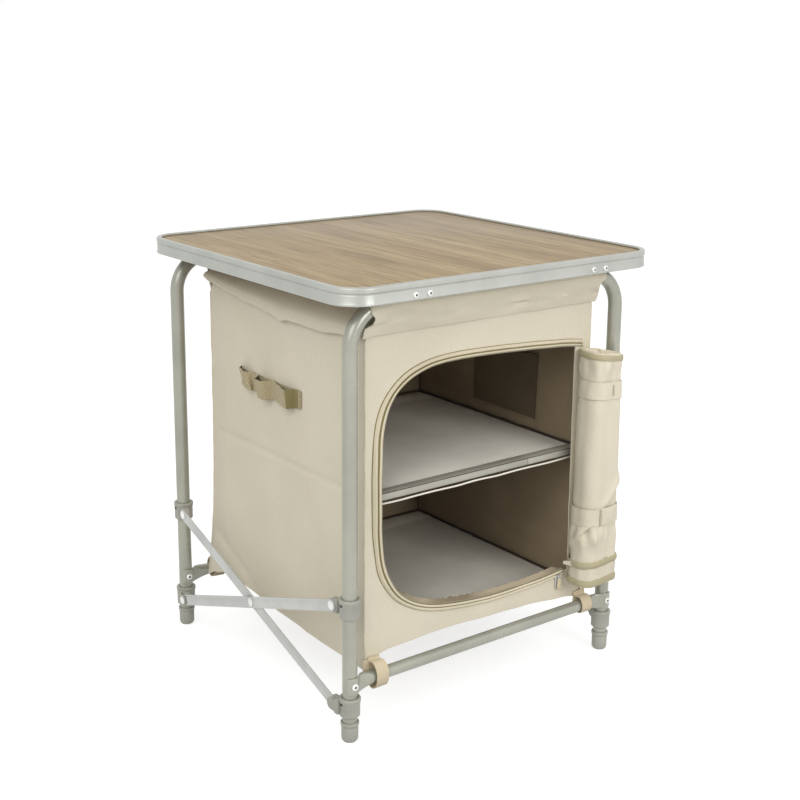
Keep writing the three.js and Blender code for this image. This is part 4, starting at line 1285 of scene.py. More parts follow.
slider.append(turned("pin", PIN_PROFILE, PIN_PLACE, "+X", look="steel"))
slider.append(block("zip_end", STOP_LOW, STOP_HIGH, STOP_BEVEL, look="binding"))
band = join("zip_tape", [band, coil] + slider)
dress(band, "front_frame", ["door_zip_band"])

# %% [markdown]
# ## Zip puller
# The puller is a short flat tab on a barrel. Its lower part is wrapped in cloth tape, so it hangs
# as a pale loop below the slider.

# %% Zip puller
BARREL_PROFILE = ((0.0014, -0.0020), (0.0022, -0.0020), (0.0022, 0.0020), (0.0014, 0.0020),
                  (0.0014, -0.0020))
NECK_LOW = (SLIDER_X - 0.0019, -0.1973, pin_z - 0.0050)
NECK_HIGH = (SLIDER_X + 0.0019, -0.1959, pin_z - 0.0014)
NECK_BEVEL = 0.0004
TAB_START = (SLIDER_X, -0.1975, pin_z - 0.0118)
TAB_SHAPE = (0.0034, 0.0085, 0.0026, 6)
TAB_DEPTH = (0, 0.0018, 0)
TAB_BEVEL = 0.0006
barrel = turned("barrel", BARREL_PROFILE, PIN_PLACE, "+X", bored=True, look="steel")
neck = block("neck", NECK_LOW, NECK_HIGH, NECK_BEVEL, look="steel")
outline = [(a, 0, b) for a, b in rounded_outline(*TAB_SHAPE)]
tab = prism("tab", outline, TAB_START, TAB_DEPTH, TAB_BEVEL, look="strap")
puller = join("zip_tab", [barrel, neck, tab])
dress(puller, "zip_puller", ["zip_puller"])


# %% [markdown]
# ## How a hanging wall lies
# Between its seams the cloth swells outwards, never inwards. The shelf's seam draws a groove with
# puckers, the top leans in towards the bar, and a lower corner is pulled out by its tape.

# %% Rules of a wall
WALL_FRONT = -0.1895
WALL_REAR = 0.1815
WALL_HELD = 0.04
WALL_WAVES = ((0, 0.16, 0.0065), (4, 0.06, 0.0022))
WALL_OUT = 0.0010
PUCKER_WAVES = ((8, 0.014, 0.0005),)
PUCKER_WIDTH = 0.018
SHELF_SEAM = 0.3100
SEAM_WIDTH = 0.0035
SEAM_DEPTH = 0.0016
SHOULDER = (0.508, 0.050, 0.030)
SOFT_LIMIT = 0.000004
EAR_WIDTH = 0.036
EAR_TALL = 0.085
CREASE_LOW = 0.075
CREASE_AWAY = 0.068
CREASE_REACH = (0.125, 0.05)
CREASE_RIDGE = (0.010, 0.0034)
CREASE_VALLEY = (0.014, 0.008, 0.0022)
CREASE_END = 0.01


def kept_out(loose):
    return (loose + math.sqrt(loose * loose + SOFT_LIMIT)) / 2


def side_swell(y, z, seed):
    from_seam = z - SHELF_SEAM
    pucker = slack(y, z, PUCKER_WAVES, seed) * bell(from_seam, PUCKER_WIDTH)
    held = fade(y - WALL_FRONT, WALL_HELD) * fade(WALL_REAR - y, WALL_HELD)
    start, width, depth = SHOULDER
    lean_in = depth * fade(z - start, width) ** 1.3
    out = kept_out(WALL_OUT + slack(y, z, WALL_WAVES, seed))
    return (out - SEAM_DEPTH * bell(from_seam, SEAM_WIDTH) + pucker) * held - lean_in


def ear(inside, z, hem):
    return fade(inside, EAR_WIDTH) ** 1.5 * math.exp(-(max(z - hem, 0) / EAR_TALL) ** 1.3)


def corner_crease(y, z):
    past = abs(y - WALL_REAR)
    away = past * 0.52 + (z - CREASE_LOW) - CREASE_AWAY
    width, ridge = CREASE_RIDGE
    start, narrow, valley = CREASE_VALLEY
    fold = ridge * bell(away, width) - valley * bell(away - start, narrow)
    return fold * fade(CREASE_REACH[0] - past, CREASE_REACH[1]) * fade(WALL_REAR - y, CREASE_END)


# %% [markdown]
# ## Side walls
# The walls hang from the sleeves, pulled down at the lower corners. A stitched line crosses each
# wall where the middle shelf is sewn on, and the left one has a crease above its rear tape.

# %% Side walls
SIDE_HEM = ((-0.190, 0.0795), (-0.143, 0.0810), (-0.103, 0.0812), (-0.063, 0.0826), (-0.036, 0.0852),
            (0.007, 0.0860), (0.030, 0.0868), (0.060, 0.0905), (0.096, 0.0952), (0.123, 0.0962),
            (0.155, 0.0950), (0.170, 0.0880), (0.182, 0.0785))
WALL_MAP = (0.37, 0.45)
EAR_SIDE = (0.005, 0.017)
HEM_PULL = (0.035, -0.13, 0.05, 0.004)
LEFT_SEED = 1.3
RIGHT_SEED = 6.6


def side_wall(side, seed):
    def lay(u, v):
        y = WALL_FRONT + (WALL_REAR - WALL_FRONT) * (u if side > 0 else 1 - u)
        hem = follow(SIDE_HEM, y)
        z = hem + (BAG_TOP - hem) * v
        tall, start, width, amount = HEM_PULL
        pulled = ear(y - (WALL_REAR - EAR_WIDTH), z, hem)
        lean = EAR_SIDE[1] * pulled - amount * bell(z - hem, tall) * fade(start - y, width)
        crease = corner_crease(y, z) if side < 0 else 0
        out = EAR_SIDE[0] * pulled + crease + side_swell(y, z, seed)
        return (side * (BAG_HALF + out), y + lean, z)
    return lay


for (side_name, side), seed in zip(SIDES, (LEFT_SEED, RIGHT_SEED)):
    # The inner side takes the darkened inside finish: painted shade.
    wall = shaped("side_cloth_" + side_name, 96, 110, side_wall(side, seed), WALL_MAP, CLOTH_WALL,
                  outside=(side, 0, 0), looks=("beige", "lining"))
    dress(wall, "front_frame", ["side_panel_" + side_name], squashed=True)

# %% [markdown]
# ## Side flaps
# A second layer hangs over the top of each wall. Its hem sags between the frames, stands off the
# wall and throws a thin shadow; above it the cloth leans in under the tabletop.

# %% Side flaps
FLAP_HEM = ((-0.190, 0.5115), (-0.155, 0.5100), (-0.100, 0.5052), (-0.052, 0.5062), (-0.030, 0.5058),
            (-0.014, 0.5022), (0.011, 0.5078), (0.068, 0.5120), (0.112, 0.5168), (0.169, 0.5250),
            (0.184, 0.5290))
FLAP_FRONT = -0.187
FLAP_LENGTH = 0.3705
FLAP_TOP = 0.5465
FLAP_MAP = (0.37, 0.045)
FLAP_WALL = 0.0013
FLAP_STAND = (0.0030, 0.0075)
FLAP_WAVES = ((0, 0.045, 0.0024),)
FLAP_WAVE_OUT = 0.002
FLAP_CURL = 0.0028
FLAP_LEAN = 0.034


def side_flap(side, seed):
    def lay(u, v):
        y = FLAP_FRONT + FLAP_LENGTH * (u if side > 0 else 1 - u)
        hem = follow(FLAP_HEM, y)
        stand = FLAP_STAND[1] * (1 - v) ** 1.6 + FLAP_STAND[0]
        wave = (slack(y, v * 0.05, FLAP_WAVES, seed) + FLAP_WAVE_OUT) * (1 - v)
        inward = FLAP_CURL * bell(v, 0.09) + FLAP_LEAN * fade(v - 0.30, 0.85)
        return (side * (BAG_HALF + stand + wave - inward), y, hem + (FLAP_TOP - hem) * v)
    return lay


for (side_name, side), seed in zip(SIDES, (3.4, 7.9)):
    flap = shaped("side_flap_" + side_name, 90, 22, side_flap(side, seed), FLAP_MAP, FLAP_WALL)
    dress(flap, "front_frame", [], ["beige"], squashed=True)

# %% [markdown]
# ## Rear wall
# The rear wall is like the side walls, without an opening. It is sewn to the rear frame's sleeve
# and pulled down at both lower corners by the rear tapes.

# %% Rear wall
REAR_HEM = ((-0.188, 0.079), (-0.160, 0.090), (-0.100, 0.0965), (0.0, 0.0975), (0.100, 0.0965),
            (0.160, 0.090), (0.188, 0.079))
REAR_MAP = (0.376, 0.45)
REAR_WAVES = ((11.2, 0.15, 0.0060), (15.8, 0.05, 0.0018))
REAR_LOOSE = 0.003
REAR_OUT = 0.0012
REAR_SEAM_DEPTH = 0.0015
EAR_REAR = 0.0155


def rear_wall(u, v):
    x = BAG_HALF * (1 - 2 * u)
    hem = follow(REAR_HEM, x)
    z = hem + (BAG_TOP - hem) * v
    out = REAR_OUT + kept_out(REAR_LOOSE + slack(x, z, REAR_WAVES))
    out -= REAR_SEAM_DEPTH * bell(z - SHELF_SEAM, SEAM_WIDTH)
    pulled = ear(abs(x) - (BAG_HALF - EAR_WIDTH), z, hem)
    out = out * fade(BAG_HALF - abs(x), WALL_HELD) + EAR_REAR * pulled
    return (x * (1 + 0.027 * pulled), BAG_REAR + out, z)


# The inner side takes the darkened inside finish: painted shade.
rear = shaped("rear_cloth", 90, 100, rear_wall, REAR_MAP, CLOTH_WALL, outside=(0, 1, 0),
              looks=("beige", "lining"))
dress(rear, "rear_frame", ["rear_panel"])

# %% [markdown]
# ## Floor cloth and shelf sling
# The floor sags between its seams, and its front edge rises to the door's hem. A second cloth under
# the middle shelf carries the shelf's weight to the walls.

# %% Floor and shelf cloths
LEVEL_HALF = 0.1860
LEVEL_HELD = 0.05
LEVEL_REAR = 0.1800
LEVEL_WAVES = ((0, 0.05, 0.0012),)
LIP_RISE = 0.0008
LIP_DEPTH = 0.0145
# Name, front edge, height, sag, seed, raised lip or not, map, imported solid and look.
# The sling's look is the darkened inside finish: painted shade under the shelf.
LEVELS = (("floor_cloth", -0.1880, 0.0976, 0.0035, 20.5, 1, (0.37, 0.37), "bottom_panel", "beige"),
          ("shelf_sling", -0.1700, 0.2946, 0.0030, 25.5, 0, (0.37, 0.35), "shelf_cloth", "lining"))


def level_cloth(low_y, height, sag, seed, lift):
    def lay(u, v):
        x = LEVEL_HALF * (2 * u - 1)
        y = low_y + (LEVEL_REAR - low_y) * v
        held = fade(LEVEL_HALF - abs(x), LEVEL_HELD) * fade(y - low_y, LEVEL_HELD)
        held *= fade(LEVEL_REAR - y, LEVEL_HELD)
        raised = lift * (follow(FRONT_HEM, x) + LIP_RISE - height) * (1 - fade(y - low_y, LIP_DEPTH))
        return (x, y, height + raised + (slack(x, y, LEVEL_WAVES, seed) - sag) * held)
    return lay


for name, low_y, height, sag, seed, lift, size, node, look in LEVELS:
    cloth = shaped(name, 60, 60, level_cloth(low_y, height, sag, seed, lift), size, CLOTH_WALL)
    dress(cloth, "front_frame", [node], [look], squashed=True)

# %% [markdown]
# ## Shelf boards
# Both shelves are stiff boards covered in grey cloth, drawn lighter than it is as painted light. They
# are cut a little narrower than the cupboard, so they can swing up when it is folded.

# %% Shelf boards
SHELF_HALF = 0.1844
MAP_METRE = 1.0
# Name, depth, height, bevel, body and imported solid.
SHELVES = (("middle_shelf", (-0.1757, 0.1430), (0.2967, 0.3037), 0.0016, "mid_shelf", "mid_shelf_board"),
           ("bottom_shelf", (-0.1731, 0.1440), (0.0979, 0.1019), 0.0012, "bottom_shelf", "bottom_board"))
for name, depth, height, bevel, body, node in SHELVES:
    board = block(name, (-SHELF_HALF, depth[0], height[0]), (SHELF_HALF, depth[1], height[1]), bevel, 3,
                  look="shelf_grey_painted_light")
    edit_all(board)
    bpy.ops.uv.cube_project(cube_size=MAP_METRE)
    object_mode()
    dress(board, body, [node])

# %% [markdown]
# ## Cloth behind the boards
# The boards stop short of the rear wall. A narrow strip of the same grey cloth closes each gap, so
# that nothing small falls through.

# %% Filler cloths
FILLER_HALF = 0.1855
FILLER_REAR = 0.1798
FILLER_SAG = 0.0010
FILLER_WAVES = ((0, 0.03, 0.0008),)
FILLER_MAP = (0.37, 0.04)
FILLER_WALL = 0.0012
# Name, front edge, height and seed.
FILLERS = (("shelf_filler", 0.1445, 0.3030, 31.0), ("floor_filler", 0.1455, 0.1012, 34.0))
# The filler shares the shelf cloth's finish, lighter as painted light.
for name, low_y, height, seed in FILLERS:
    def lay_filler(u, v):
        x = FILLER_HALF * (2 * u - 1)
        y = low_y + (FILLER_REAR - low_y) * v
        return (x, y, height + slack(x, y, FILLER_WAVES, seed) - FILLER_SAG * fade(v - 0.5, 0.5))

    filler = shaped(name, 60, 10, lay_filler, FILLER_MAP, FILLER_WALL)
    dress(filler, "front_frame", [], ["shelf_grey_painted_light"], squashed=True)

# %% [markdown]
# ## Front strip of the middle shelf
# A pale metal strip stiffens the shelf's front edge. It is a C section in two lengths with a fine
# joint between them, and a thin dark line runs above and below it.

# %% Front strip
STRIP_FACE = -0.1775
STRIP_JOINT = 0.0925
JOINT_HALF = 0.0003
STRIP_BEVEL = 0.0005
STRIP_SECTION = ((0, 0.2950), (0.0150, 0.2950), (0.0150, 0.2964), (0.0015, 0.2964), (0.0015, 0.3041),
                 (0.0150, 0.3041), (0.0150, 0.3054), (0, 0.3054))
LINE_HEIGHTS = (0.3048, 0.2953)
LINE_RADIUS = 0.0005
LINE_OUT = 0.0002
parts = []
outline = [(0, STRIP_FACE + depth, height) for depth, height in STRIP_SECTION]
for start, end in ((-SHELF_HALF, STRIP_JOINT - JOINT_HALF), (STRIP_JOINT + JOINT_HALF, SHELF_HALF)):
    parts.append(prism("strip", outline, (start, 0, 0), (end - start, 0, 0), STRIP_BEVEL, look="strip_grey"))
for height in LINE_HEIGHTS:
    ends = [(side * SHELF_HALF, STRIP_FACE - LINE_OUT, height) for _, side in SIDES]
    parts.append(straight_cord("line", *ends, 20, LINE_RADIUS, "dark_cord"))
strip = join("shelf_front_strip", parts)
dress(strip, "mid_shelf", ["shelf_edge_strip"])


# %% [markdown]
# ## Piping and inner seams
# Where walls, shelf and floor meet, the seams are bound with dark tape, which wavers as sewn cloth
# does. Under the front of the middle shelf runs a thin white cord.

# %% Piping
PIPING_RADIUS = 0.0017
PIPING_HEIGHTS = (0.3058, 0.1040)
PIPING_SWAY = 0.0016
PIPING_X = 0.1845
PIPING_FRONT = -0.1700
PIPING_REAR = 0.1780
REAR_PIPING = (0.1835, 0.1775)
UPRIGHT_RADIUS = 0.0013
UPRIGHT_SWAY = 0.0009
UPRIGHT_X = 0.1840
UPRIGHT_Z = (0.1050, 0.5400)
WHITE_RADIUS = 0.0012
WHITE_HALF = 0.1835
WHITE_Y = (-0.1768, 0.0003)
WHITE_Z = (0.2912, 0.0004)


def wavering(start, end, steps, amount, seed):
    points = []
    for i in range(steps + 1):
        held = min(min(i, steps - i) / steps * 4, 1)
        shift = Vector([ripple(i * 0.31, seed, axis) for axis in (0, 5, 9)])
        points.append(Vector(start).lerp(Vector(end), i / steps) + shift * amount * held)
    return points


for side_name, side in SIDES:
    cords = []
    for height in PIPING_HEIGHTS:
        ends = [(side * PIPING_X, y, height) for y in (PIPING_FRONT, PIPING_REAR)]
        line = wavering(*ends, 40, PIPING_SWAY, height * 9 + side)
        cords.append(cord("seam", line, PIPING_RADIUS, "dark_cord"))
    dress(join("side_seams_" + side_name, cords), "front_frame", squashed=True)
cords = []
for height in PIPING_HEIGHTS:
    ends = [(side * REAR_PIPING[0], REAR_PIPING[1], height) for _, side in SIDES]
    line = wavering(*ends, 40, PIPING_SWAY, height * 7)
    cords.append(cord("seam", line, PIPING_RADIUS, "dark_cord"))
for side_name, side in SIDES:
    ends = [(side * UPRIGHT_X, PIPING_REAR, z) for z in UPRIGHT_Z]
    cords.append(cord("seam", wavering(*ends, 50, UPRIGHT_SWAY, side * 2.0), UPRIGHT_RADIUS, "pocket"))
dress(join("rear_seams", cords), "rear_frame")
white_line = []
for i in range(41):
    sway = (WHITE_Y[0] + WHITE_Y[1] * math.sin(i), WHITE_Z[0] + WHITE_Z[1] * math.sin(i * 0.7))
    white_line.append((WHITE_HALF * (i / 20 - 1), *sway))
dress(cord("shelf_white_cord", white_line, WHITE_RADIUS, "white_cord"), "mid_shelf")

# %% [markdown]
# ## Outer corner seams
# The walls are sewn together at the four upright corners, and the seam's turned edge stands out as
# a thin beige rib. The rear ribs follow the walls' pulled lower corners.

# %% Corner seams
RIB_RADIUS = 0.0012
RIB_SWAY = 0.0010
RIB_START = 0.001
RIB_TOP = 0.5080
RIBS = (("front", "front_frame", BAG_FRONT + 0.0004, FRONT_HEM, 0),
        ("rear", "rear_frame", BAG_REAR + 0.0002, REAR_HEM, 1))
for end, body, seam_y, hem, pull in RIBS:
    ribs = []
    for side_name, side in SIDES:
        low = follow(hem, side * BAG_HALF)
        ends = [(side * BAG_HALF, seam_y, z) for z in (low + RIB_START, RIB_TOP)]
        line = []
        for x, y, z in wavering(*ends, 60, RIB_SWAY, side * 3.3 + seam_y):
            pulled = pull * ear(EAR_WIDTH, z, low)
            line.append((x + side * EAR_SIDE[0] * pulled, y + EAR_REAR * pulled, z))
        ribs.append(cord("rib", line, RIB_RADIUS, "beige"))
    dress(join("corner_seams_" + end, ribs), body)

# %% [markdown]
# ## Loose tape on the sill
# Inside the lower edge of the door the zip's tape has come loose. It lies in small folds on the
# floor board and shows as a ragged pale line.

# %% Sill tape
SILL_STEPS = 150
SILL_MAP = (0.35, 0.008)
SILL_WALL = 0.0006
SILL_IN = (0.0006, 0.0045)
SILL_LOW = 0.0012
SILL_HEIGHT = 0.0066
SILL_RAGGED = 0.0016
SILL_CURL = 0.0022
sill_path = resample(door_path[: CORNER_LOW + 1], SILL_STEPS)


def sill_point(u, v):
    place = sill_path[round(u * SILL_STEPS)]
    height = SILL_HEIGHT * fade(u, 0.06) * fade(1 - u, 0.10) + ripple(place.x * 210, 3.0) * SILL_RAGGED
    curl = ripple(place.x * 160, v * 2, 8.0) * SILL_CURL * v
    depth = BAG_FRONT + SILL_IN[0] + SILL_IN[1] * v + curl
    return (place.x, depth, place.y - SILL_LOW + (SILL_LOW + height) * v)


sill = shaped("sill_tape", SILL_STEPS, 6, sill_point, SILL_MAP, SILL_WALL)
dress(sill, "front_frame", [], ["sill_tape"])

# %% [markdown]
# ## Inside pocket
# A flat pocket is sewn to the inside of the right wall. It is drawn darker than the wall, with
# painted shade in its colour as in the inside cloth, and its open upper edge hangs a little away
# from the wall.

# %% Inside pocket
POCKET_Y = (-0.089, 0.050)
POCKET_Z = (0.323, 0.418)
POCKET_MAP = (0.128, 0.088)
POCKET_WALL = 0.0010
POCKET_OFF = (0.0016, 0.0006)
POCKET_GAPE = 0.0045
POCKET_DIP = 0.0030


def between(pair, share):
    return pair[0] + (pair[1] - pair[0]) * share


def pocket_point(u, v):
    y = between(POCKET_Y, u)
    z = between(POCKET_Z, v)
    held = fade(u, 0.2) * fade(1 - u, 0.2)
    wall = BAG_HALF + side_swell(y, z, RIGHT_SEED) - CLOTH_WALL
    off = POCKET_OFF[0] + (POCKET_GAPE * v ** 3 + POCKET_OFF[1]) * held
    return (wall - off, y, z - POCKET_DIP * v ** 4 * math.sin(math.pi * u))


pocket = shaped("inside_pocket", 40, 26, pocket_point, POCKET_MAP, POCKET_WALL)
dress(pocket, "front_frame", ["inner_pocket"], ["pocket"], squashed=True)


# %% [markdown]
# ## Bar sleeves
# The cupboard hangs by two sleeves, wide hems that wrap the frames' top bars. In section the cloth
# runs from the seam up to the bar, round it and back; its ends are cut slanting, longer at the bar.

# %% Sleeves
SLEEVE_RADIUS = 0.0099
SLEEVE_WALL = 0.0012
SLEEVE_MAP = (0.37, 0.11)
SLEEVE_MERGE = 0.00001
SLEEVE_WAVES = ((0, 0.042, 0.0038), (3, 0.017, 0.0012))
SLEEVE_STRETCH = (2.5, 3)
SEAM_Z = 0.5150
STRAIGHT = 7
ROUND = 16
NOTCH = (0.64, 0.26, 0.0085)
FRONT_REACH = (0.1960, 0.0015)
REAR_REACH = (0.1870, -0.0200)
RIGHT_SHORTER = 0.006
DROOP_START = 0.172
FLARE = (0.160, 0.02, 0.0020)
# Name, bar, seam, side that faces out, seed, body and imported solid.
SLEEVES = (("front_sleeve", FRONT_LEG_Y, -0.1950, -1, 41.0, "front_frame", "front_bar_sleeve"),
           ("rear_sleeve", REAR_LEG_Y, 0.1845, 1, 47.0, "rear_frame", "rear_bar_sleeve"))


def sleeve_section(bar_y, seam_y):
    seam = Vector((seam_y, SEAM_Z))
    bar = Vector((bar_y, BAR_Z))
    drop = seam - bar
    heading = math.atan2(drop.y, drop.x)
    lean = math.acos(SLEEVE_RADIUS / drop.length)
    first = heading - lean
    turn = 2 * lean - FULL_TURN
    on_bar = [bar + Vector((math.cos(angle), math.sin(angle))) * SLEEVE_RADIUS
              for angle in (first + turn * i / ROUND for i in range(ROUND + 1))]
    points = [seam.lerp(on_bar[0], i / STRAIGHT) for i in range(STRAIGHT)]
    return points + on_bar + [on_bar[-1].lerp(seam, i / STRAIGHT) for i in range(1, STRAIGHT + 1)]


def sleeve(name, bar_y, seam_y, outward, seed):
    section = sleeve_section(bar_y, seam_y)
    count = len(section) - 1

    def lay(u, v):
        place = section[round(v * count)]
        rise = min(max((place.y - SEAM_Z) / (BAR_Z - SEAM_Z), 0), 1)
        side = 1 if (place.x - bar_y) * outward > 0 else -1
        if outward < 0:
            notch = NOTCH[2] * bell(rise - NOTCH[0], NOTCH[1]) * (1 if side > 0 else 0.3)
            reach = FRONT_REACH[0] + FRONT_REACH[1] * rise - notch - (RIGHT_SHORTER if u > 0.5 else 0)
        else:
            reach = REAR_REACH[0] + REAR_REACH[1] * rise
        x = (2 * u - 1) * reach
        over = max(abs(x) - DROOP_START, 0) * (0.55 + 0.45 * rise)
        drop = BEND_RADIUS - math.sqrt(BEND_RADIUS ** 2 - over ** 2)
        free = math.sin(math.pi * rise) * (1 if rise < 1 else 0)
        fold = 0
        for stretch, wave in zip(SLEEVE_STRETCH, SLEEVE_WAVES):
            fold += slack(x, place.y * stretch, [wave], seed)
        flare = FLARE[2] * fade(abs(x) - FLARE[0], FLARE[1])
        return (x, place.x + outward * side * (fold + flare) * free, place.y - drop)

    piece = shaped(name, 110, count, lay, SLEEVE_MAP)
    close_and_turn_out(piece, SLEEVE_MERGE)
    apply_modifier(piece, "SOLIDIFY", thickness=SLEEVE_WALL, offset=1)
    smooth(piece)
    return piece


for name, bar_y, seam_y, outward, seed, body, node in SLEEVES:
    dress(sleeve(name, bar_y, seam_y, outward, seed), body, [node], ["beige"])

# %% [markdown]
# ## The rolled door
# The door is unzipped, rolled to the right and held by two bands. Its section follows the packed
# roll: a soft oval that leans on the leg. The cloth is tucked behind the lower band, and a
# few folds run out of it.

# %% Roll section
ROLL_LOW = 0.119
ROLL_HIGH = 0.449
ROLL_COLUMNS = 120
ROLL_ROWS = 150
ROLL_MAP = (0.17, 0.336)
LEG_CLEARANCE = 0.0162
ROLL_LEFT = LEG_X - LEG_CLEARANCE - 0.050
ROLL_BACK = -0.1920
ROLL_FRONT = -0.2360
ROLL_WIDTH = 0.061
# Centre, radius, first and last angle in degrees, and steps. The third follows the leg.
ROLL_ARCS = ((ROLL_LEFT + 0.019, ROLL_BACK - 0.019, 0.019, 180, 90, 9),
             (ROLL_LEFT + 0.036, ROLL_BACK - 0.009, 0.009, 90, -25, 9),
             (LEG_X, FRONT_LEG_Y, -LEG_CLEARANCE, 200, 240, 4),
             (ROLL_LEFT + 0.052, ROLL_FRONT + 0.0095, 0.0095, 55, -90, 9),
             (ROLL_LEFT + 0.019, ROLL_FRONT + 0.019, 0.019, -90, -180, 9))
LEFT_TUCK = ((0.119, -0.0010), (0.200, 0.0), (0.300, 0.0035), (0.449, 0.0070))
RIGHT_TUCK = ((0.119, 0.0020), (0.200, 0.0030), (0.449, 0.0070))
GROW_BY_HEIGHT = ((0.119, -0.0005), (0.126, 0.0008), (0.145, 0.0012), (0.165, 0.0000), (0.190, 0.0020),
                  (0.204, 0.0004), (0.210, -0.0012), (0.230, -0.0012), (0.236, 0.0000), (0.300, 0.0006),
                  (0.370, 0.0008), (0.384, 0.0002), (0.388, -0.0010), (0.408, -0.0010), (0.414, 0.0002),
                  (0.432, 0.0008), (0.446, -0.0002), (0.449, -0.0015))


def closed_ring(grow):
    ring = []
    for a, b, radius, start, end, steps in ROLL_ARCS:
        ring += [Vector(point) for point in arc(a, b, abs(radius + grow), start, end, steps)]
    return resample(ring + [ring[0]], ROLL_COLUMNS)


def tucked(place, z):
    share = (place.x - ROLL_LEFT) / ROLL_WIDTH
    return Vector((place.x + follow(LEFT_TUCK, z) * (1 - share) - follow(RIGHT_TUCK, z) * share, place.y))


def ring_normal(index):
    return across(roll_ring[(index - 1) % ROLL_COLUMNS], roll_ring[(index + 1) % ROLL_COLUMNS])


roll_ring = closed_ring(0)
roll_middle = sum(roll_ring[:-1], Vector((0, 0))) / ROLL_COLUMNS
ROLL_STEP = (roll_ring[1] - roll_ring[0]).length
print("roll's outline:", round(ROLL_STEP * ROLL_COLUMNS, 4), "m round")

# %% [markdown]
# ### Folds of the roll
# Each row of the table is one zone of the roll: its height and width, the waves round it and along
# it, and how deep they are. The bands hold the cloth flat, so the folds fade out beside them.

# %% Folds of the roll
# Height, tallness, waves round and along, their start and amount.
ZONES = ((0.190, 0.016, 3.2, 22, 7, 0.0050), (0.426, 0.013, 2.6, 18, 30, 0.0042),
         (0.150, 0.020, 2.4, 30, 0, 0.0024))
EVEN_WAVE = (1.4, 14, 50, 0.0016)
HELD_HEIGHTS = (0.220, 0.398)
HELD_TALL = 0.014
TUCK = (0.0235, 0.91, 0.208)
TUCK_RIDGE = (0.0100, 0.0016, 0.0040)
TUCK_NOTCH = (0.0045, 0.0036, 0.199, 0.010, 0.0058)
TUCK_BULGE = (0.0210, 0.0110, 0.186, 0.014, 0.0026)
TUCK_LOW = (0.160, 0.02)
TOP_SLANT = (0.40, 0.05, -0.10)
LOW_SLANT = (0.17, 0.04)
LOW_WAVES = ((61.0, 0.05, 0.004),)


def tuck_fold(index, z):
    steps = ROLL_COLUMNS - index if index > ROLL_COLUMNS / 2 else -index
    past = steps * ROLL_STEP - (TUCK[0] - TUCK[1] * (TUCK[2] - z))
    fold = TUCK_RIDGE[2] * bell(past, TUCK_RIDGE[0] if past < 0 else TUCK_RIDGE[1])
    for sign, (start, width, height, tall, amount) in ((-1, TUCK_NOTCH), (1, TUCK_BULGE)):
        fold += sign * amount * bell(past - start, width) * bell(z - height, tall)
    return fold * fade(z - TUCK_LOW[0], TUCK_LOW[1])


def wave_round(index, around, up):
    angle = FULL_TURN * index / ROLL_COLUMNS
    return ripple(math.cos(angle) * around, math.sin(angle) * around, up)


def roll_swell(index, z):
    around, along, start, amount = EVEN_WAVE
    wave = wave_round(index, around, z * along + start) * amount + tuck_fold(index, z)
    for height, tall, around, along, start, amount in ZONES:
        wave += wave_round(index, around, z * along + start) * amount * bell(z - height, tall)
    return wave * (1 - max(bell(z - height, HELD_TALL) for height in HELD_HEIGHTS))


def roll_point(u, v):
    index = round(u * ROLL_COLUMNS) % ROLL_COLUMNS
    z = between((ROLL_LOW, ROLL_HIGH), v)
    out = follow(GROW_BY_HEIGHT, z) + roll_swell(index, z)
    place = tucked(roll_ring[index] + ring_normal(index) * out, z)
    slant = (place.x - roll_middle.x) * TOP_SLANT[2] * fade(z - TOP_SLANT[0], TOP_SLANT[1])
    slant += slack(place.x * 3, place.y * 3, LOW_WAVES) * fade(LOW_SLANT[0] - z, LOW_SLANT[1])
    return (place.x, place.y, z + slant)


roll = shaped("rolled_door", ROLL_COLUMNS, ROLL_ROWS, roll_point, ROLL_MAP, closed=True)
print("roll:", sides_of(roll))


# %% [markdown]
# ## Ends of the roll
# At both ends the wound layers show as a spiral in a shallow dish. Each end starts at the roll's
# own rim and is led towards the middle.

# %% Spiral ends
END_MAP = (0.17, 0.02)
END_DISH = 0.0045
END_SPIRAL = 0.0014


def roll_end(height, facing, base_row):
    def lay(u, v):
        rim = Vector(roll_point(u, base_row))
        share = 1 - v
        flat = roll_middle.lerp(rim.xy, share * 0.985 + 0.015)
        turn = round(u * ROLL_COLUMNS) % ROLL_COLUMNS / ROLL_COLUMNS
        spiral = math.sin(FULL_TURN * (share * 5.0 - turn))
        dip = END_DISH * fade(v, 0.5) - END_SPIRAL * spiral * fade(v, 0.15)
        return (flat.x, flat.y, rim.z * share + height * v - facing * dip)

    return shaped("end", ROLL_COLUMNS, 14, lay, END_MAP, closed=True)


roll = join("rolled_door", [roll, roll_end(ROLL_HIGH, 1, 1.0), roll_end(ROLL_LOW, -1, 0.0)])
close_and_turn_out(roll)
fill_rims(roll)
smooth(roll)
dress(roll, "front_frame", ["door_roll"], ["beige"])


# %% [markdown]
# ## Bands and bindings of the roll
# A band is a strip of the same cloth that follows the roll's outline a little outside it. The same
# rule with other heights and a khaki finish gives the bindings at the roll's ends. The upper band
# has a small bartack, the lower one a stitched overlap.

# %% Roll bands
BAND_LENGTH = 0.18
STRIP_WALL = 0.0013
STRIP_WAVE = 0.0008
STRIP_LIFT = 0.0012
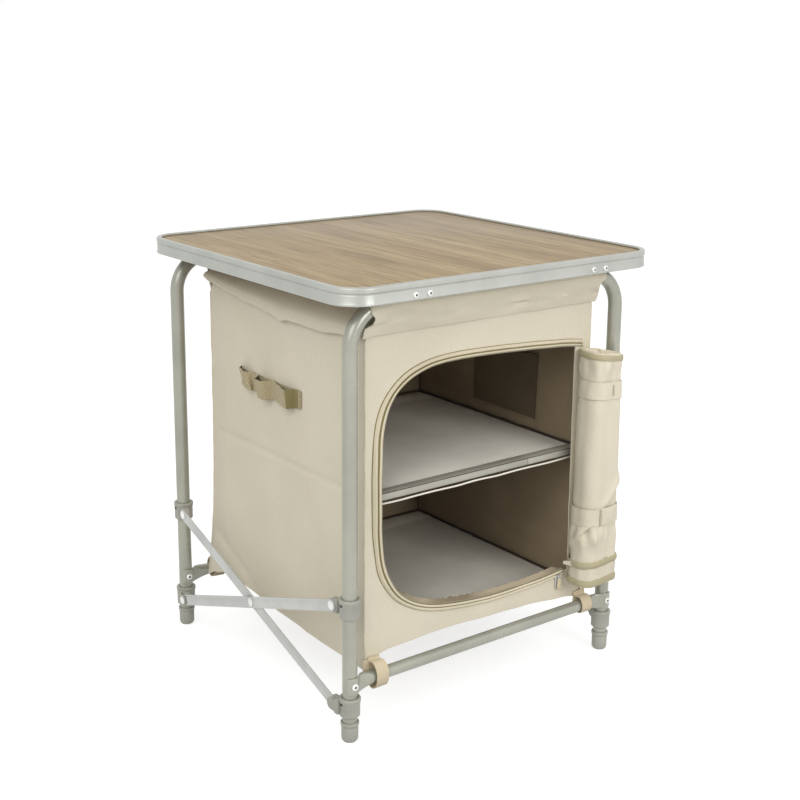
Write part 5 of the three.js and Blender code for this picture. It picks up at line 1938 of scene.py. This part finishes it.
# Lower and upper edge, distance outside the roll, tilt, look, seed and bulge.
BANDS = {"upper_band": (0.3860, 0.4100, 0.0004, -0.04, "beige", 71.0),
         "lower_band": (0.2080, 0.2320, 0.0004, 0.02, "beige", 73.0),
         "end_bindings": (0.4395, 0.4465, 0.0004, -0.10, "binding", 75.0, 0.0008),
         "low_binding": (0.1480, 0.1560, 0.0012, 0.08, "binding", 77.0, 0.0014),
         "lowest_binding": (0.1200, 0.1290, 0.0006, 0.04, "binding", 79.0, 0.0008)}
THREAD_RADIUS = 0.0004
TACK_PLACE = (0.1885, -0.2382, 0.3905)
TACK_WIDTH = 0.0012
TACK_HEIGHT = 0.0150
OVERLAP_SHAPE = (0.0125, 0.0125, 0.0020, 4)
OVERLAP_PLACE = (0.1860, -0.2384, 0.2200)
OVERLAP_DEPTH = (0, -0.0010, 0)
OVERLAP_BEVEL = 0.0004
STITCH_LOW = (0.1745, -0.2397, 0.2090)
STITCH_HIGH = (0.1745, -0.2397, 0.2310)


def roll_band(name, low, high, grow, tilt, look, seed, bulge=0.0):
    ring = closed_ring(grow)

    def lay(u, v):
        index = round(u * ROLL_COLUMNS) % ROLL_COLUMNS
        place = ring[index]
        z = between((low, high), v) + (place.x - roll_middle.x) * tilt
        out = bulge * math.sin(math.pi * v) + ripple(place.x * 70, place.y * 70, seed + v) * STRIP_WAVE
        place = tucked(place, z)
        lift = ripple(place.x * 40, place.y * 40, seed + 9) * STRIP_LIFT
        place += ring_normal(index) * out
        return (place.x, place.y, z + lift)

    piece = shaped(name, ROLL_COLUMNS, 8, lay, (BAND_LENGTH, high - low), closed=True)
    close_and_turn_out(piece)
    apply_modifier(piece, "SOLIDIFY", thickness=STRIP_WALL, offset=1)
    return finished(piece, look)


upper, lower, *bindings = [roll_band(name, *shape) for name, shape in BANDS.items()]
x, y, z = TACK_PLACE
tack_points = [(x + TACK_WIDTH * (-1) ** i, y, z + TACK_HEIGHT * i / 16) for i in range(17)]
upper = join("upper_band", [upper, cord("bartack", tack_points, THREAD_RADIUS, "binding")])
dress(upper, "front_frame", ["roll_tie_upper"])
outline = [(a, 0, b) for a, b in rounded_outline(*OVERLAP_SHAPE)]
overlap = prism("overlap", outline, OVERLAP_PLACE, OVERLAP_DEPTH, OVERLAP_BEVEL, look="beige")
stitch = straight_cord("stitch", STITCH_LOW, STITCH_HIGH, 8, THREAD_RADIUS, "binding")
lower = join("lower_band", [lower, overlap, stitch])
dress(lower, "front_frame", ["roll_tie_lower"])
dress(join("end_bindings", bindings), "front_frame")

# %% [markdown]
# ## Loose corner of the door
# One corner of the door's cloth sticks out of the roll's foot to the left. It is a short tip that
# narrows to its end and curls a little.

# %% Loose corner
CORNER_X = ((0.0, 0.1450), (0.3, 0.1515), (0.6, 0.1565), (1.0, 0.1760))
CORNER_Y = ((0.0, -0.1990), (0.3, -0.2140), (0.6, -0.2300), (1.0, -0.2385))
CORNER_Z = 0.1480
CORNER_TALL = (0.0040, 0.0190)
CORNER_CURL = 0.0015
CORNER_WAVES = ((93.0, 0.5, 0.0012),)
CORNER_MAP = (0.045, 0.018)
CORNER_WALL = 0.0011


def corner_point(u, v):
    curl = CORNER_CURL * math.sin(5 * u) + slack(u, 0, CORNER_WAVES)
    return (follow(CORNER_X, u), follow(CORNER_Y, u), CORNER_Z + (v - 0.5) * between(CORNER_TALL, u) + curl)


tip = shaped("loose_corner", 24, 8, corner_point, CORNER_MAP, CORNER_WALL)
dress(tip, "front_frame", [], ["beige"])

# %% [markdown]
# ## Corner tapes
# Four short tapes loop round the crossbars and pull the cupboard's lower corners down. Each is a
# slack loop of tape with a small tongue where it is sewn to the corner.

# %% Corner tapes
TAPE_WALL = 0.0014
TAPE_WIDTH = 0.0180
TAPE_MAP = (0.10, 0.018)
TAPE_STEPS = 40
TAPE_WAVES = ((0, 0.02, 0.0016),)
TWIST_WAVES = ((5, 0.03, 0.004),)
TONGUE_WAVES = ((8, 0.02, 0.0016),)
LOOP_HALF = (0.0112, 0.0125)
LOOP_LIFT = 0.0015
LOOP_SEAM = 0.0950
TONGUE_MAP = (0.030, 0.016)
TONGUE_OUT = 0.0012
TONGUE_CURL = 0.0024
TONGUE_Z = (0.0785, 0.0160, 0.003)
TONGUE_PAST = {-1: 0.006, 1: -0.010}
# Name, bar, seam, middle, body, seed and how far the loop sags.
TAPES = (("front_left", FRONT_LEG_Y, -0.1925, -0.1770, "front_frame", 81.0, 0.0055),
         ("front_right", FRONT_LEG_Y, -0.1925, 0.1820, "front_frame", 83.0, 0.0),
         ("rear_left", REAR_LEG_Y, 0.1845, -0.1680, "rear_frame", 85.0, 0.002),
         ("rear_right", REAR_LEG_Y, 0.1845, 0.1680, "rear_frame", 87.0, 0.002))


def corner_tape(name, bar_y, seam_y, middle_x, seed, sag):
    outward = -1 if seam_y < 0 else 1
    corner_side = 1 if middle_x > 0 else -1
    half_depth = LOOP_HALF[0] + sag * 0.1
    half_height = LOOP_HALF[1] + sag
    seam = Vector((seam_y, LOOP_SEAM + sag * 0.6))
    circle = arc(0, 0, 1, 60, 360, 30)
    loop_points = [Vector((bar_y - outward * half_depth * a, CROSSBAR_Z + LOOP_LIFT + half_height * b))
                   for a, b in circle]
    ring = resample([seam] + loop_points + [seam], TAPE_STEPS)
    reach = BAG_HALF + TONGUE_PAST[outward] - abs(middle_x) + TAPE_WIDTH / 2

    def lay_loop(u, v):
        place = ring[round(u * TAPE_STEPS)]
        x = middle_x + (v - 0.5) * TAPE_WIDTH + slack(place.x, place.y, TAPE_WAVES, seed)
        return (x, place.x, place.y + (v - 0.5) * slack(place.x, place.y, TWIST_WAVES, seed))

    def lay_tongue(u, v):
        x = middle_x + corner_side * (reach * u - TAPE_WIDTH / 2)
        z = TONGUE_Z[0] + TONGUE_Z[1] * v + TONGUE_Z[2] * u
        curl = TONGUE_CURL * math.sin(3 * u) + slack(x, z, TONGUE_WAVES, seed)
        return (x, seam_y + outward * (TONGUE_OUT + curl * (1 - 0.5 * v)), z)

    loop = shaped(name, TAPE_STEPS, 6, lay_loop, TAPE_MAP, TAPE_WALL)
    return join(name, [loop, shaped("tongue", 14, 8, lay_tongue, TONGUE_MAP, TAPE_WALL)])


for name, bar_y, seam_y, middle_x, body, seed, sag in TAPES:
    tape = corner_tape("corner_tape_" + name, bar_y, seam_y, middle_x, seed, sag)
    dress(tape, body, ["corner_tie_" + name], ["strap"])

# %% [markdown]
# ## Webbing loops
# A tape on the left wall is sewn down at four places and left slack between them, so that it stands
# out in three loops for hanging small gear. A second, flat tape lies under it. The tapes' inner
# sides are dark with painted shade, and the steep face of the first loop is olive with painted shade.

# %% Webbing
WEB_Y = (-0.050, 0.094)
WEB_Z = (0.391, 0.416)
WEB_PATH = ((-0.048, 0.0), (-0.040, 0.0002), (-0.0345, 0.0130), (-0.028, 0.0115), (-0.008, 0.0052),
            (0.012, 0.0004), (0.0225, 0.0150), (0.037, 0.0148), (0.052, 0.0010), (0.064, 0.0004),
            (0.074, 0.0095), (0.088, 0.0075), (0.094, 0.0))
WEB_SHADED_FOLD = (-0.0472, -0.0352)
WEB_OFF = 0.0022
WEB_WALL = 0.0012
WEB_MAP = (0.19, 0.025)
WEB_SLANT = (0.080, 0.006, 0.011)
WEB_WAVES = ((91.0, 0.03, 0.0018),)
WEB_LIFT = (0.060, 0.03, 0.0035)
BASE_Y = (-0.052, 0.096)
BASE_Z = (0.392, 0.415)
BASE_OFF = 0.0012
BASE_WALL = 0.0008
BASE_MAP = (0.148, 0.023)


def on_left_wall(y, z, off):
    return -(BAG_HALF + side_swell(y, z, LEFT_SEED) + off)


def webbing_point(u, v):
    y = between(WEB_Y, u)
    bulge = follow(WEB_PATH, y) * (0.82 + 0.18 * v)
    slant = WEB_SLANT[2] * (1 - v) * fade(y, WEB_SLANT[0]) * min(bulge / WEB_SLANT[1], 1)
    z = between(WEB_Z, v) + slack(y, v, WEB_WAVES) - 0.10 * bulge
    z += WEB_LIFT[2] * fade(y - WEB_LIFT[0], WEB_LIFT[1])
    return (on_left_wall(y, z, WEB_OFF + bulge), y - slant, z)


def base_point(u, v):
    y, z = between(BASE_Y, u), between(BASE_Z, v)
    return (on_left_wall(y, z, BASE_OFF), y, z)


# The loops' inner side takes the dark pocket finish as painted shade.
loops = shaped("webbing_loops", 216, 8, webbing_point, WEB_MAP, WEB_WALL, outside=(-1, 0, 0), offset=0,
               looks=("webbing", "pocket", "olive_and_painted_shade"))
# Painted shade: the steep fold face of the first loop takes the olive finish.
for face in loops.data.polygons:
    if WEB_SHADED_FOLD[0] < face.center.y < WEB_SHADED_FOLD[1]:
        face.material_index = 2
base = shaped("base", 40, 4, base_point, BASE_MAP, BASE_WALL, outside=(-1, 0, 0), offset=0,
              looks=("webbing", "pocket"))
webbing = join("webbing_loops", [loops, base])
dress(webbing, "front_frame", ["side_webbing"], squashed=True)

# %% [markdown]
# ## Finish
# The number of dressed pieces is printed.

# %% Finish
print("pieces:", len(made))
